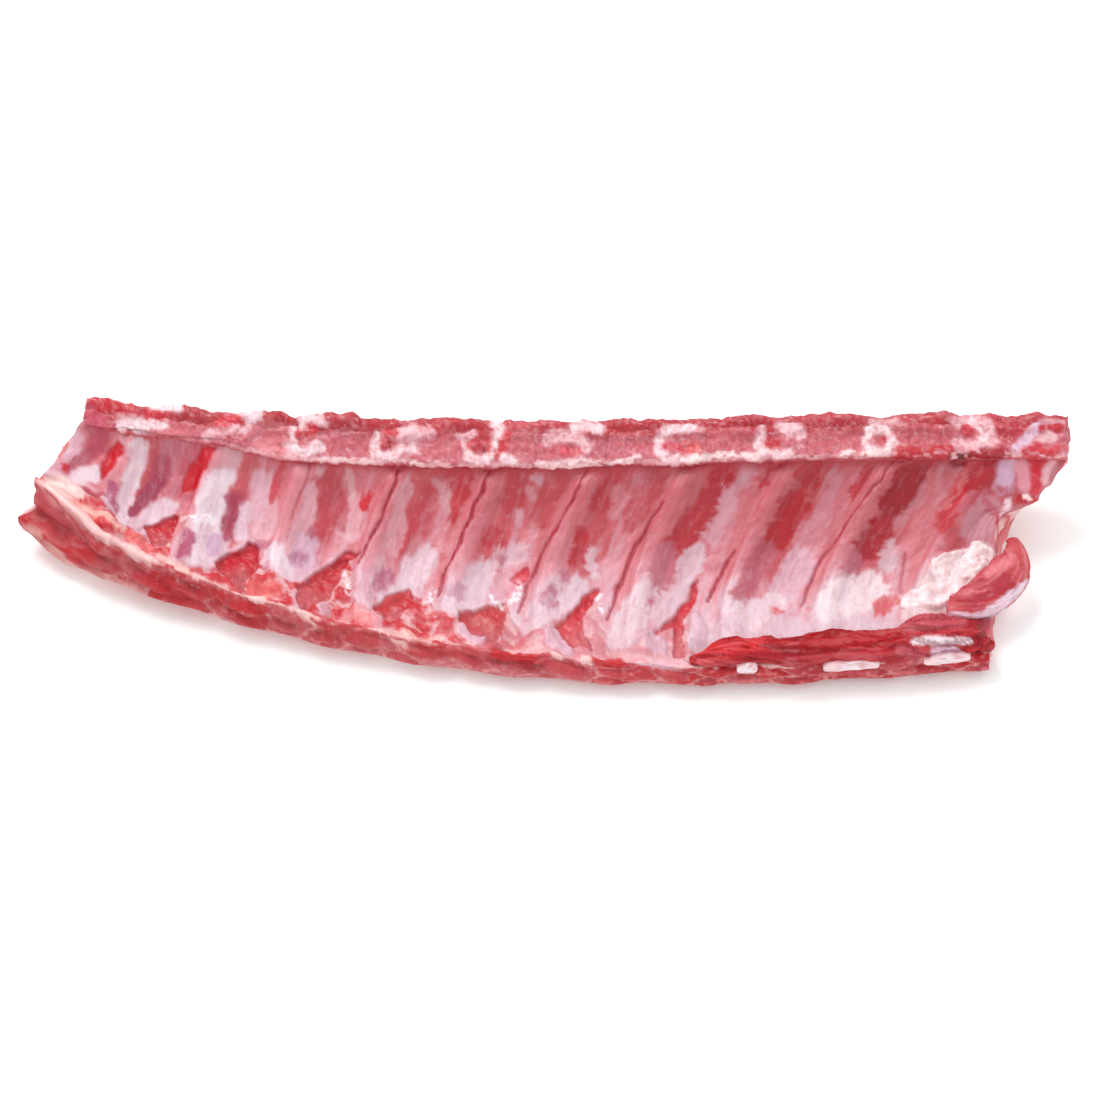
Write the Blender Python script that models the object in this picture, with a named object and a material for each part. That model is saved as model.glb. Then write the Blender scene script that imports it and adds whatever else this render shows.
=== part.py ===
"""A rack of raw pork back ribs, lying bone side up.

The rack is one slab of meat, hollow like a shallow trough. The ribs lie in it side by side and end
at the near cut edge. The sawn spine runs along the far edge: a row of vertebrae with a disc of
cartilage between each two, level with the top of each rib.

A place on the rack is given by its station u and its height t on the inner side. Station 1 is the
first rib from the left, station 2 the second, and so on. t is 0 at the near rim and 1 at the spine.
Lengths are in millimetres until the last step, which writes metres.
"""

import math

import bmesh
import bpy
import numpy as np
from mathutils import Vector
from mathutils.geometry import tessellate_polygon

# ---- driving dimensions, mm ----
RIB_COUNT = 10
FIRST_RIB_X = -182.0        # where the first rib meets the spine
RIB_PITCH = 42.2            # along the spine
PITCH_DRIFT = 6.5           # the middle ribs lie this much to the left of an even pitch
LEFT_END = 0.56             # station of the left cut end
RIGHT_END = 10.75           # station of the right cut end
LEAN_FIRST = 9.0            # how far left of its spine end the first rib meets the near edge
LEAN_STEP = 2.4             # more lean on each further rib
BOW_FIRST = 3.0             # sideways bow of the first rib
BOW_STEP = 1.4              # more bow on each further rib
LEFT_TURN = 0.8             # left of this station the rack runs straight to its left end
RIGHT_TURN = 10.18          # right of this station it runs straight to its right end
LEFT_NEAR_X = -222.0        # the left end, at the near rim and at the spine
LEFT_SPINE_X = -207.0
LEFT_TUCK = 7.5             # the spine itself ends this far short of that
FOOT_REACH = 8.0            # at the left end the foot reaches out beyond the rim
RIGHT_END_T = (0.0, 0.3, 0.6, 0.8, 0.88, 0.955, 1.0)    # the right end, from rim to spine
RIGHT_END_X = (195.0, 197.0, 199.0, 200.0, 206.0, 227.0, 231.0)

NEAR_ARC_X = 60.0           # the near edge stands furthest forward here
NEAR_ARC_LEFT = 0.00087     # its sweep back to the left, per mm
NEAR_ARC_RIGHT = 0.0005     # and to the right
TIP_SWEEP = 13.0            # the left corner sweeps back this much more
ARC_SPAN = 282.0            # from the foremost place to the left corner

RIM_Z = 17.0                # height of the near rim
RIM_RISE = 20.0             # rise of the rim to the left corner
RIM_DROP = 3.0              # the rim is lower where the loose strip lies on it
FOOT_Z = 5.0                # lower edge of the near cut face
FOOT_RISE = 8.0
WALL_LEAN = 2.0             # the near cut face leans back by this much
WALL_LEAN_LEFT = 6.0
TROUGH_SAG = 13.0           # depth of the trough at full width
FULL_WIDTH = 85.0
LIFT_LEFT = 8.0             # the left end's underside stands this far off the floor

LIP_Y = 98.0                # front edge of the sawn spine
LIP_Z = 47.5
TOP_Y = 111.0               # back edge of the spine
TOP_Z = 50.0
LIP_DIP = 5.0               # the lip hangs lower at the middle of the rack
SPINE_LEFT_X = -100.0       # from here to the left the spine bends back and up
SPINE_BEND = 100.0
EDGE_BELOW_LIP = 7.0        # the meat meets the spine this far below its lip

RIB_HALF = 6.2              # half the width of a rib bone
RIB_DEPTH = 6.6             # how far it is sunk in the meat
RIB_PROUD = 1.8             # how far it stands above the meat
RIB_END_T = 0.945           # its end at the spine
GAP = 0.5                   # clearance between neighbours
DISC_HALF = 6.3             # half the width of a cartilage disc
INTERCOSTAL_SAG = 1.6       # the flesh between the ribs is hollow by this much
POCKET_DEPTH = 5.5
STRIP_GAP = 2.0             # the loose strip lies this far above the lumpy flesh

CAP_BEND = 2.0              # per metre
CENTRE = (0.5, 59.84, 0.0)  # middle of the underside, which becomes the origin
MM = 0.001


# ---- the shape of the rack ----
def ramp(value, start, end):
    """Smooth step from 0 at start to 1 at end."""
    s = np.clip((value - start) / (end - start), 0.0, 1.0)
    return s * s * (3.0 - 2.0 * s)


def bump(value, centre, width):
    return np.exp(-(((value - centre) / width) ** 2))


def spine_x(u):
    n = u - 1.0
    return FIRST_RIB_X + RIB_PITCH * n - PITCH_DRIFT * np.sin(np.pi * np.clip(n, 0.0, 9.0) / 8.0)


def near_x(u):
    n = u - 1.0
    return spine_x(u) - LEAN_FIRST - LEAN_STEP * np.clip(n, 0.0, 9.0)


def rib_line_x(u, t):
    """X along a line that runs beside the ribs."""
    bow = (BOW_FIRST + BOW_STEP * np.clip(u - 1.0, 0.0, 9.0)) * 4.0 * t * (1.0 - t)
    return near_x(u) + (spine_x(u) - near_x(u)) * t - bow


def endness(u):
    """0 over most of the rack, rising evenly to 1 at the right end."""
    return np.clip((u - RIGHT_TURN) / (RIGHT_END - RIGHT_TURN), 0.0, 1.0)


def place_x(u, t):
    if u < LEFT_TURN:
        end = LEFT_NEAR_X + (LEFT_SPINE_X - LEFT_NEAR_X) * t
        turn = rib_line_x(LEFT_TURN, t)
        return turn + (end - turn) * (LEFT_TURN - u) / (LEFT_TURN - LEFT_END)
    if u > RIGHT_TURN:
        end = np.interp(t, RIGHT_END_T, RIGHT_END_X)
        turn = rib_line_x(RIGHT_TURN, t)
        return turn + (end - turn) * endness(u)
    return rib_line_x(u, t)


def spine_place_x(u):
    """X of the spine itself, whose left end is tucked in."""
    tuck = LEFT_TUCK * np.clip((LEFT_TURN - u) / (LEFT_TURN - LEFT_END), 0.0, 1.0)
    return place_x(u, 1.0) + tuck


def leftness(u):
    """0 over most of the rack, rising to 1 at the left near corner."""
    return np.clip((NEAR_ARC_X - place_x(u, 0.0)) / ARC_SPAN, 0.0, 1.0) ** 3


def foot_y(u):
    x = place_x(u, 0.0) - NEAR_ARC_X
    arc = (NEAR_ARC_LEFT if x < 0.0 else NEAR_ARC_RIGHT) * x * x
    lumps = 0.7 * math.sin(6.3 * u + 1.0)
    return arc + lumps + TIP_SWEEP * ramp(u, 1.0, LEFT_END)


def foot_z(u):
    return FOOT_Z + FOOT_RISE * leftness(u)


def rim_y(u):
    return foot_y(u) + WALL_LEAN + WALL_LEAN_LEFT * leftness(u)


def rim_z(u):
    return RIM_Z + RIM_RISE * leftness(u) - RIM_DROP * ramp(u, 6.6, 7.4)


def spine_bend(u):
    return np.clip((SPINE_LEFT_X - spine_x(u)) / SPINE_BEND, 0.0, 1.0) ** 2


def lip(u):
    bend = spine_bend(u)
    dip = bump(u, 5.2, 2.4)
    return LIP_Y + 6.0 * bend - 1.5 * dip, LIP_Z + 5.0 * bend - LIP_DIP * dip


def top(u):
    bend = spine_bend(u)
    return TOP_Y + 4.0 * bend, TOP_Z + 3.0 * bend


def underside(u):
    return LIFT_LEFT * np.clip(1.0 - u / 3.0, 0.0, 1.0) ** 2


def pocket(u, t):
    """Depth of the hollows under the scalloped membrane, one left of each rib's near end."""
    phase = (u + 0.5) % 1.0 - 0.5
    side = bump(phase, -0.31, 0.12)
    inside = ramp(u, 2.3, 3.0) * (1.0 - ramp(u, 8.2, 8.8))
    return POCKET_DEPTH * side * bump(t, 0.15, 0.09) * inside


def relief(u, t):
    """Height of the flesh over the plain trough: hollow between the ribs, lumpy, and pocketed."""
    between = np.sin(np.pi * u) ** 2
    fade = ramp(t, 0.0, 0.12) * (1.0 - ramp(t, 0.9, 1.0))
    lumps = 0.5 * np.sin(5.1 * u + 7.0 * t) * np.sin(11.0 * t + 1.3 * u)
    return (lumps - INTERCOSTAL_SAG * between) * fade - pocket(u, t)


def inner(u, t):
    """Y and Z of the inner surface."""
    lip_y, lip_z = lip(u)
    end_y = lip_y - 0.7
    end_z = lip_z - EDGE_BELOW_LIP
    y = rim_y(u) + (end_y - rim_y(u)) * t
    sag = TROUGH_SAG * (end_y - rim_y(u)) / FULL_WIDTH
    z = rim_z(u) + (end_z - rim_z(u)) * t - sag * np.sin(np.pi * t)
    return y, z + relief(u, t)


def spine_point(u, along, out):
    """A point by the sawn face: along it from lip to back, and out of it."""
    lip_y, lip_z = lip(u)
    top_y, top_z = top(u)
    length = math.hypot(top_y - lip_y, top_z - lip_z)
    dy = (top_y - lip_y) / length
    dz = (top_z - lip_z) / length
    return lip_y + along * dy - out * dz, lip_z + along * dz + out * dy


# ---- mesh helpers ----
def to_metres(points):
    return (np.asarray(points, dtype=float) - np.array(CENTRE)) * MM


def material(name, colour, roughness):
    made = bpy.data.materials.new(name)
    made.use_nodes = True
    shader = made.node_tree.nodes["Principled BSDF"]
    shader.inputs["Base Color"].default_value = (*colour, 1.0)
    shader.inputs["Roughness"].default_value = roughness
    shader.inputs["Metallic"].default_value = 0.0
    return made


def finish_object(name, bm, look):
    bmesh.ops.recalc_face_normals(bm, faces=bm.faces)
    if bm.calc_volume(signed=True) < 0.0:
        bmesh.ops.reverse_faces(bm, faces=bm.faces)
    mesh = bpy.data.meshes.new(name)
    bm.to_mesh(mesh)
    bm.free()
    mesh.materials.append(look)
    mesh.shade_smooth()
    mesh.set_sharp_from_angle(angle=math.radians(50.0))
    made = bpy.data.objects.new(name, mesh)
    bpy.context.scene.collection.objects.link(made)
    return made


def flat_outline(points, side_on):
    """A ring of points as its cap is cut into triangles.

    Seen side on, along X, it is bent a little, so that no three points of a flat base are in line.
    """
    if not side_on:
        return [Vector(point) for point in points]
    return [Vector((y, z + CAP_BEND * y * y, 0.0)) for _, y, z in points]


def loft(name, sections, look, side_on=False):
    """One closed body through rings of points, with both ends capped."""
    sections = [to_metres(ring) for ring in sections]
    bm = bmesh.new()
    rings = [[bm.verts.new(point) for point in ring] for ring in sections]
    count = len(rings[0])
    for ring, following in zip(rings, rings[1:]):
        for k in range(count):
            nxt = (k + 1) % count
            quad_to_triangles(bm, ring[k], ring[nxt], following[nxt], following[k])
    for ring, points in ((rings[0], sections[0]), (rings[-1], sections[-1])):
        for corner in tessellate_polygon([flat_outline(points, side_on)]):
            bm.faces.new([ring[index] for index in corner])
    return finish_object(name, bm, look)


def quad_to_triangles(bm, a, b, c, d):
    """Two triangles, split along the shorter diagonal."""
    if (a.co - c.co).length <= (b.co - d.co).length:
        bm.faces.new((a, b, c))
        bm.faces.new((a, c, d))
    else:
        bm.faces.new((a, b, d))
        bm.faces.new((b, c, d))


# ---- the meat ----
CHANNEL_HALF = RIB_HALF + GAP
CHANNEL_DEPTH = RIB_DEPTH + GAP + 0.2
CHANNEL_IN = CHANNEL_HALF / RIB_PITCH
CHANNEL_OUT = (CHANNEL_HALF + 0.4) / RIB_PITCH
INNER_STEPS = (0.0, 0.06, 0.13, 0.22, 0.33, 0.45, 0.57, 0.69, 0.80, 0.89, 0.955, 1.0)
# bed of the spine and the muscle ridge behind it, as (along, out) of the sawn face
BED = ((-0.9, -8.8), (4.8, -13.2), (12.0, -11.7), (13.0, -3.0))
RIDGE = ((13.4, -0.6), (15.4, 1.0), (17.4, -0.8))


def channel(u, t):
    """1 in the bed of a rib, 0 beside it."""
    rib = np.clip(np.round(u), 1, RIB_COUNT)
    inside = abs(u - rib) < (CHANNEL_IN + CHANNEL_OUT) / 2.0
    return 1.0 if inside and t < 0.97 else 0.0


def meat_ring(u):
    """The closed outline of the meat at one station, from the near foot over the top and back."""
    reach = FOOT_REACH * ramp(u, 1.0, LEFT_END)
    fy, fz = float(foot_y(u)), float(foot_z(u))
    rim = float(rim_z(u))
    wall_z = min(fz + 0.45 * (rim - fz), rim - CHANNEL_DEPTH * channel(u, 0.0) - 1.5)
    near = place_x(u, 0.0)
    ring = [(near - reach, fy, fz), (near - 0.5 * reach, fy - 1.0, wall_z)]
    for t in INNER_STEPS:
        y, z = inner(u, t)
        ring.append((place_x(u, t), y, z - CHANNEL_DEPTH * channel(u, t)))
    far = spine_place_x(u)
    lump = 1.4 * math.sin(math.pi * u) ** 2
    for along, out in BED:
        ring.append((far, *spine_point(u, along, out)))
    for along, out in RIDGE:
        ring.append((far, *spine_point(u, along, out + lump)))
    back_y, back_z = top(u)
    floor = float(underside(u))
    swell = 0.8 * math.sin(7.0 * u)
    for x, y, z in ((2.0, back_y + 4.0, back_z - 13.0), (5.0, back_y + 2.5 + swell, back_z - 27.0),
                    (10.0, back_y - 3.0 - swell, floor + 11.0), (21.0, back_y - 14.0, floor + 3.0)):
        ring.append((far - x * endness(u), y, z))
    width = lip(u)[0] - float(rim_y(u))
    for t, z in ((0.82, 0.85 * floor), (0.5, 0.5 * floor), (0.2, 0.9 * floor),
                 (0.06, floor + 0.45 * (fz - floor))):
        ring.append((place_x(u, t), float(rim_y(u)) + width * t, z))
    return ring


def meat_stations():
    steps = [LEFT_END, 0.7]
    for rib in range(1, RIB_COUNT + 1):
        steps += [rib - CHANNEL_OUT, rib - CHANNEL_IN, rib, rib + CHANNEL_IN, rib + CHANNEL_OUT]
        if rib < RIB_COUNT:
            steps += [rib + 0.33, rib + 0.5, rib + 0.67]
    return steps + [RIB_COUNT + 0.35, RIB_COUNT + 0.55, RIGHT_END]


def make_meat(look):
    return loft("meat", [meat_ring(u) for u in meat_stations()], look, side_on=True)


# ---- bones and cartilage ----
def rib_ring(u, t, start):
    """The outline of a rib bone, flattened and rounded, at one height t."""
    proud = RIB_PROUD * float(ramp(t, 0.1, 0.22))
    widths = (-RIB_HALF, -RIB_HALF, -0.75 * RIB_HALF, 0.75 * RIB_HALF, RIB_HALF,
              RIB_HALF, 0.8 * RIB_HALF, 0.3 * RIB_HALF, -0.3 * RIB_HALF, -0.8 * RIB_HALF)
    heights = (-1.0, -0.65 * RIB_DEPTH, -RIB_DEPTH, -RIB_DEPTH, -0.65 * RIB_DEPTH,
               -1.0, 0.5 * proud, proud, proud, 0.5 * proud)
    ring = []
    for across, height in zip(widths, heights):
        station = u + across / RIB_PITCH
        y, z = inner(station, t)
        ring.append((place_x(station, t), y - start, z + height))
    return ring


def make_rib(number, look):
    """A rib bone, from a little proud of the near cut face to the spine."""
    steps = (0.0, 0.06, 0.13, 0.22, 0.33, 0.45, 0.57, 0.69, 0.80, 0.89, RIB_END_T)
    rings = [rib_ring(number, 0.0, 2.6)]
    rings += [rib_ring(number, t, 0.0) for t in steps]
    return loft(f"rib_{number:02d}", rings, look)


# outline of a vertebra across the spine, as (along, out) of the sawn face
VERTEBRA = ((-3.2, -4.2), (-3.6, -1.0), (-1.4, 0.8), (3.5, 0.3), (8.5, 0.8),
            (11.6, 0.0), (12.3, -3.0), (11.4, -11.1), (5.0, -12.6), (-0.4, -8.2))


def spine_ring(u, outline, grow):
    ring = []
    for along, out in outline:
        y, z = spine_point(u, along, out + (grow if out > -3.5 else 0.0))
        ring.append((spine_place_x(u), y, z))
    return ring


def make_vertebra(number, look):
    """One vertebra of the sawn spine, waisted between its two discs."""
    half = (DISC_HALF + GAP) / RIB_PITCH
    start = LEFT_END + 0.02 if number == 1 else number - 1 + half
    end = RIGHT_END - 0.02 if number == RIB_COUNT + 1 else number - half
    rings = []
    for step in range(5):
        s = step / 4.0
        rings.append(spine_ring(start + (end - start) * s, VERTEBRA, -0.9 * math.sin(math.pi * s)))
    return loft(f"vertebra_{number:02d}", rings, look)


def make_disc(number, look):
    """A cartilage disc: a raised ring round a pit on the sawn face."""
    half = DISC_HALF / RIB_PITCH
    rings = []
    for across, rise, pit in ((-1.0, 0.2, 0.2), (-0.6, 1.0, 0.9), (0.0, 1.1, -2.6),
                              (0.6, 1.0, 0.9), (1.0, 0.2, 0.2)):
        outline = [list(point) for point in VERTEBRA]
        for index in (1, 2, 4, 5):
            outline[index][1] += rise
        outline[3][1] += pit
        rings.append(spine_ring(number + across * half, outline, 0.0))
    return loft(f"disc_{number:02d}", rings, look)


# ---- the loose pieces at the right ----
def make_strip(look):
    """A loose strip of red muscle that lies along the near rim."""
    first, last, count = 7.6, RIGHT_END - 0.03, 16
    rings = []
    for step in range(count + 1):
        s = step / count
        u = first + (last - first) * s
        swell = math.sqrt(math.sin(math.pi * (0.04 + 0.92 * s)))
        reach = 0.05 + 0.13 * swell
        thick = 9.0 * swell + 0.6 * math.sin(9.0 * s)
        overhang = 1.5 * swell
        ring = []
        for v in (1.0, 0.66, 0.33, 0.0):
            y, z = inner(u, reach * v)
            z += pocket(u, reach * v) + STRIP_GAP
            ring.append((place_x(u, reach * v), y - overhang * (1.0 - v), z))
        for v, rise in ((-0.04, 0.45), (0.2, 0.92), (0.52, 1.0), (0.85, 0.55)):
            y, z = inner(u, max(reach * v, 0.0))
            y -= overhang * (1.0 - v) + (1.0 if v < 0.0 else 0.0)
            z += pocket(u, max(reach * v, 0.0)) + STRIP_GAP
            ring.append((place_x(u, max(reach * v, 0.0)), y, z + thick * rise))
        rings.append(ring)
    return loft("muscle_strip", rings, look)


def make_fat(look):
    """A lump of white fat on the inner side, right of the last rib."""
    rings = []
    low, high, count = 0.34, 0.66, 7
    left, right = 10.25, 10.68
    for step in range(count + 1):
        s = step / count
        t = low + (high - low) * s
        swell = math.sqrt(math.sin(math.pi * (0.05 + 0.9 * s)))
        middle = (left + right) / 2.0
        half = (right - left) / 2.0 * swell
        ring = []
        for v in (-1.0, -0.4, 0.4, 1.0):
            u = middle + half * v
            y, z = inner(u, t)
            ring.append((place_x(u, t), y, z + GAP + 0.2))
        for v, rise in ((0.8, 0.6), (0.3, 1.0), (-0.35, 0.85), (-0.85, 0.5)):
            u = middle + half * v
            y, z = inner(u, t)
            ring.append((place_x(u, t), y, z + GAP + 0.2 + 5.0 * swell * rise))
        rings.append(ring)
    return loft("fat_lump", rings, look)


def bezier(points, s):
    a, b, c, d = (np.array(point, dtype=float) for point in points)
    return (1 - s) ** 3 * a + 3 * (1 - s) ** 2 * s * b + 3 * (1 - s) * s * s * c + s ** 3 * d


FLAP_SPINE = ((175.0, 33.5, 16.0), (197.0, 30.0, 19.0), (216.0, 40.0, 28.0), (209.5, 60.0, 30.0))


def make_flap(look):
    """A tongue of muscle that curls up round the near right corner."""
    count, sides = 10, 10
    rings = []
    for step in range(count + 1):
        s = step / count
        centre = bezier(FLAP_SPINE, s)
        ahead = bezier(FLAP_SPINE, min(s + 0.02, 1.0)) - bezier(FLAP_SPINE, max(s - 0.02, 0.0))
        ahead /= np.linalg.norm(ahead)
        side = np.cross(ahead, (0.35, -0.25, 0.9))
        side /= np.linalg.norm(side)
        up = np.cross(side, ahead)
        wide = 2.5 + 6.0 * math.sin(math.pi * (0.08 + 0.84 * s)) ** 0.8
        thick = 1.6 + 2.6 * math.sin(math.pi * (0.1 + 0.82 * s))
        ring = []
        for k in range(sides):
            angle = 2.0 * math.pi * k / sides
            ring.append(centre + side * wide * math.cos(angle) + up * thick * math.sin(angle))
        rings.append(ring)
    return loft("muscle_flap", rings, look)


def main():
    for old in list(bpy.data.objects):
        bpy.data.objects.remove(old, do_unlink=True)
    flesh = material("flesh", (0.52, 0.10, 0.12), 0.35)
    bone = material("bone", (0.80, 0.50, 0.53), 0.4)
    marrow = material("marrow", (0.62, 0.19, 0.22), 0.5)
    cartilage = material("cartilage", (0.85, 0.60, 0.62), 0.3)
    muscle = material("muscle", (0.42, 0.04, 0.05), 0.3)
    fat = material("fat", (0.87, 0.70, 0.68), 0.4)
    make_meat(flesh)
    for number in range(1, RIB_COUNT + 1):
        make_rib(number, bone)
        make_disc(number, cartilage)
    for number in range(1, RIB_COUNT + 2):
        make_vertebra(number, marrow)
    make_strip(muscle)
    make_fat(fat)
    make_flap(muscle)


main()
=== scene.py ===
"""The looks of a rack of raw pork back ribs, built round its CAD model.

The slab of meat, each bone, disc and vertebra and the three loose pieces are made again from the
part's own named sizes, with a fine mesh, relief and paint. Lengths are in millimetres until a mesh
is written. A place on the rack is given by its station u, where rib 1 is at 1 and rib 2 at 2, and by
its height t on the inner side, 0 at the near rim and 1 at the spine. Where a streak or blotch follows
the photograph, its place is a named value in the photograph's pixels, cast on to the surface.
"""

import math

import bpy
import numpy as np
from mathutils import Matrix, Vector
from mathutils.geometry import delaunay_2d_cdt


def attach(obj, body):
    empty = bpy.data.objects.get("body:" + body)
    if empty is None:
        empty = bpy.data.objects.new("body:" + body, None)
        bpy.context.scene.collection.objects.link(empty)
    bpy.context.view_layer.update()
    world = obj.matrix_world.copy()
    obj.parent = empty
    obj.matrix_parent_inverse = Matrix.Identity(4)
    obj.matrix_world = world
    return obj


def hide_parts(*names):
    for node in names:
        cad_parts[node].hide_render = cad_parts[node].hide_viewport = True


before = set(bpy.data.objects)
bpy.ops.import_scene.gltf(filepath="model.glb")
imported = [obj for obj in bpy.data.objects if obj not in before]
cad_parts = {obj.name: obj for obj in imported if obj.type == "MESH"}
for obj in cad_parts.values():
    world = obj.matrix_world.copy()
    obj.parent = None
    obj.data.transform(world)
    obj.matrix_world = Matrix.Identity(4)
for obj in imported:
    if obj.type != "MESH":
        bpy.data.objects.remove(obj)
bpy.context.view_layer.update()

MM = 0.001
RICHNESS = 1.05

# ---- the rack's driving dimensions, as in the part, mm ----
RIB_COUNT = 10
FIRST_RIB_X = -182.0
RIB_PITCH = 42.2
PITCH_DRIFT = 6.5
LEFT_END = 0.56
RIGHT_END = 10.75
LEAN_FIRST = 9.0
LEAN_STEP = 2.4
BOW_FIRST = 3.0
BOW_STEP = 1.4
LEFT_TURN = 0.8
RIGHT_TURN = 10.18
LEFT_NEAR_X = -222.0
LEFT_SPINE_X = -207.0
LEFT_TUCK = 7.5
FOOT_REACH = 8.0
RIGHT_END_T = (0.0, 0.3, 0.6, 0.8, 0.88, 0.955, 1.0)
RIGHT_END_X = (195.0, 197.0, 199.0, 200.0, 206.0, 227.0, 231.0)
NEAR_ARC_X = 60.0
NEAR_ARC_LEFT = 0.00087
NEAR_ARC_RIGHT = 0.0005
TIP_SWEEP = 13.0
ARC_SPAN = 282.0
RIM_Z = 17.0
RIM_RISE = 20.0
RIM_DROP = 3.0
FOOT_Z = 5.0
FOOT_RISE = 8.0
WALL_LEAN = 2.0
WALL_LEAN_LEFT = 6.0
TROUGH_SAG = 13.0
FULL_WIDTH = 85.0
LIFT_LEFT = 8.0
LIP_Y = 98.0
LIP_Z = 47.5
TOP_Y = 111.0
TOP_Z = 50.0
LIP_DIP = 5.0
SPINE_LEFT_X = -100.0
SPINE_BEND = 100.0
EDGE_BELOW_LIP = 7.0
RIB_HALF = 6.2
RIB_END_T = 0.945
DISC_HALF = 6.3
INTERCOSTAL_SAG = 1.6
POCKET_DEPTH = 5.5
MEMBRANE_CLIMB = 7.5
EDGE_INSET = 0.7
EDGE_LIFT = 7.0
EDGE_LIFT_LOST = 4.7
STRIP_GAP = 2.0
CENTRE = np.array((0.5, 59.84, 0.0))

# ---- the camera, a long lens that looks down at 50 degrees ----
ELEVATION = math.radians(50.0)
MM_PER_PIXEL = 0.44
PHOTO_SIDE = 1100
AIM = np.array((3.24, 20.0, 0.0))
DISTANCE = 6000.0
SENSOR = 36.0


# ---- shape of the rack ----
def ramp(value, start, end):
    """Smooth step from 0 at start to 1 at end."""
    s = np.clip((np.asarray(value, dtype=float) - start) / (end - start), 0.0, 1.0)
    return s * s * (3.0 - 2.0 * s)


def bump(value, centre, width):
    """A smooth hill, 1 at centre."""
    return np.exp(-(((value - centre) / width) ** 2))


def spine_x(u):
    """X where a station meets the spine."""
    n = u - 1.0
    return FIRST_RIB_X + RIB_PITCH * n - PITCH_DRIFT * np.sin(np.pi * np.clip(n, 0.0, 9.0) / 8.0)


def near_x(u):
    """X where a station meets the near rim."""
    return spine_x(u) - LEAN_FIRST - LEAN_STEP * np.clip(u - 1.0, 0.0, 9.0)


def rib_line_x(u, t):
    """X along a rib, which leans and bows to the left."""
    bow = (BOW_FIRST + BOW_STEP * np.clip(u - 1.0, 0.0, 9.0)) * 4.0 * t * (1.0 - t)
    return near_x(u) + (spine_x(u) - near_x(u)) * t - bow


def endness(u):
    """0 up to the last rib's right side, 1 at the right end."""
    return np.clip((u - RIGHT_TURN) / (RIGHT_END - RIGHT_TURN), 0.0, 1.0)


def place_x(u, t):
    """X of a place on the inner side, with the cut of both ends."""
    u, t = np.broadcast_arrays(np.asarray(u, dtype=float), np.asarray(t, dtype=float))
    left_end = LEFT_NEAR_X + (LEFT_SPINE_X - LEFT_NEAR_X) * t
    left_turn = rib_line_x(LEFT_TURN, t)
    left = left_turn + (left_end - left_turn) * (LEFT_TURN - u) / (LEFT_TURN - LEFT_END)
    right_end = np.interp(t, RIGHT_END_T, RIGHT_END_X)
    right_turn = rib_line_x(RIGHT_TURN, t)
    right = right_turn + (right_end - right_turn) * endness(u)
    middle = rib_line_x(u, t)
    return np.where(u < LEFT_TURN, left, np.where(u > RIGHT_TURN, right, middle))


def spine_place_x(u):
    """X of a place on the spine, tucked in at the left end."""
    tuck = LEFT_TUCK * np.clip((LEFT_TURN - u) / (LEFT_TURN - LEFT_END), 0.0, 1.0)
    return place_x(u, 1.0) + tuck


def leftness(u):
    """0 right of NEAR_ARC_X, rising to 1 at the near edge's left end."""
    return np.clip((NEAR_ARC_X - place_x(u, 0.0)) / ARC_SPAN, 0.0, 1.0) ** 3


def foot_y(u):
    """Y of the foot of the near wall."""
    x = place_x(u, 0.0) - NEAR_ARC_X
    arc = np.where(x < 0.0, NEAR_ARC_LEFT, NEAR_ARC_RIGHT) * x * x
    return arc + 0.7 * np.sin(6.3 * u + 1.0) + TIP_SWEEP * ramp(u, 1.0, LEFT_END)


def foot_z(u):
    """Z of the foot of the near wall."""
    return FOOT_Z + FOOT_RISE * leftness(u)


def rim_y(u):
    """Y of the near rim."""
    return foot_y(u) + WALL_LEAN + WALL_LEAN_LEFT * leftness(u)


def rim_z(u):
    """Z of the near rim."""
    return RIM_Z + RIM_RISE * leftness(u) - RIM_DROP * ramp(u, 6.6, 7.4)


def spine_bend(u):
    """0 along most of the spine, 1 at its raised left end."""
    return np.clip((SPINE_LEFT_X - spine_x(u)) / SPINE_BEND, 0.0, 1.0) ** 2


def lip(u):
    """Y and Z of the lower edge of the sawn face."""
    bend, dip = spine_bend(u), bump(u, 5.2, 2.4)
    return LIP_Y + 6.0 * bend - 1.5 * dip, LIP_Z + 5.0 * bend - LIP_DIP * dip


def top(u):
    """Y and Z of the upper edge of the sawn face."""
    bend = spine_bend(u)
    return TOP_Y + 4.0 * bend, TOP_Z + 3.0 * bend


def underside(u):
    """How high the underside is off the floor."""
    return LIFT_LEFT * np.clip(1.0 - u / 3.0, 0.0, 1.0) ** 2


def pocket(u, t):
    """Depth of the hollows between the rib ends."""
    phase = (u + 0.5) % 1.0 - 0.5
    inside = ramp(u, 2.3, 3.0) * (1.0 - ramp(u, 8.2, 8.8))
    return POCKET_DEPTH * bump(phase, -0.31, 0.12) * bump(t, 0.15, 0.09) * inside


def tuck(u):
    """How far up the sawn face the membrane climbs, at the left."""
    return MEMBRANE_CLIMB * (1.0 - ramp(u, 1.4, 3.2))


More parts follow.
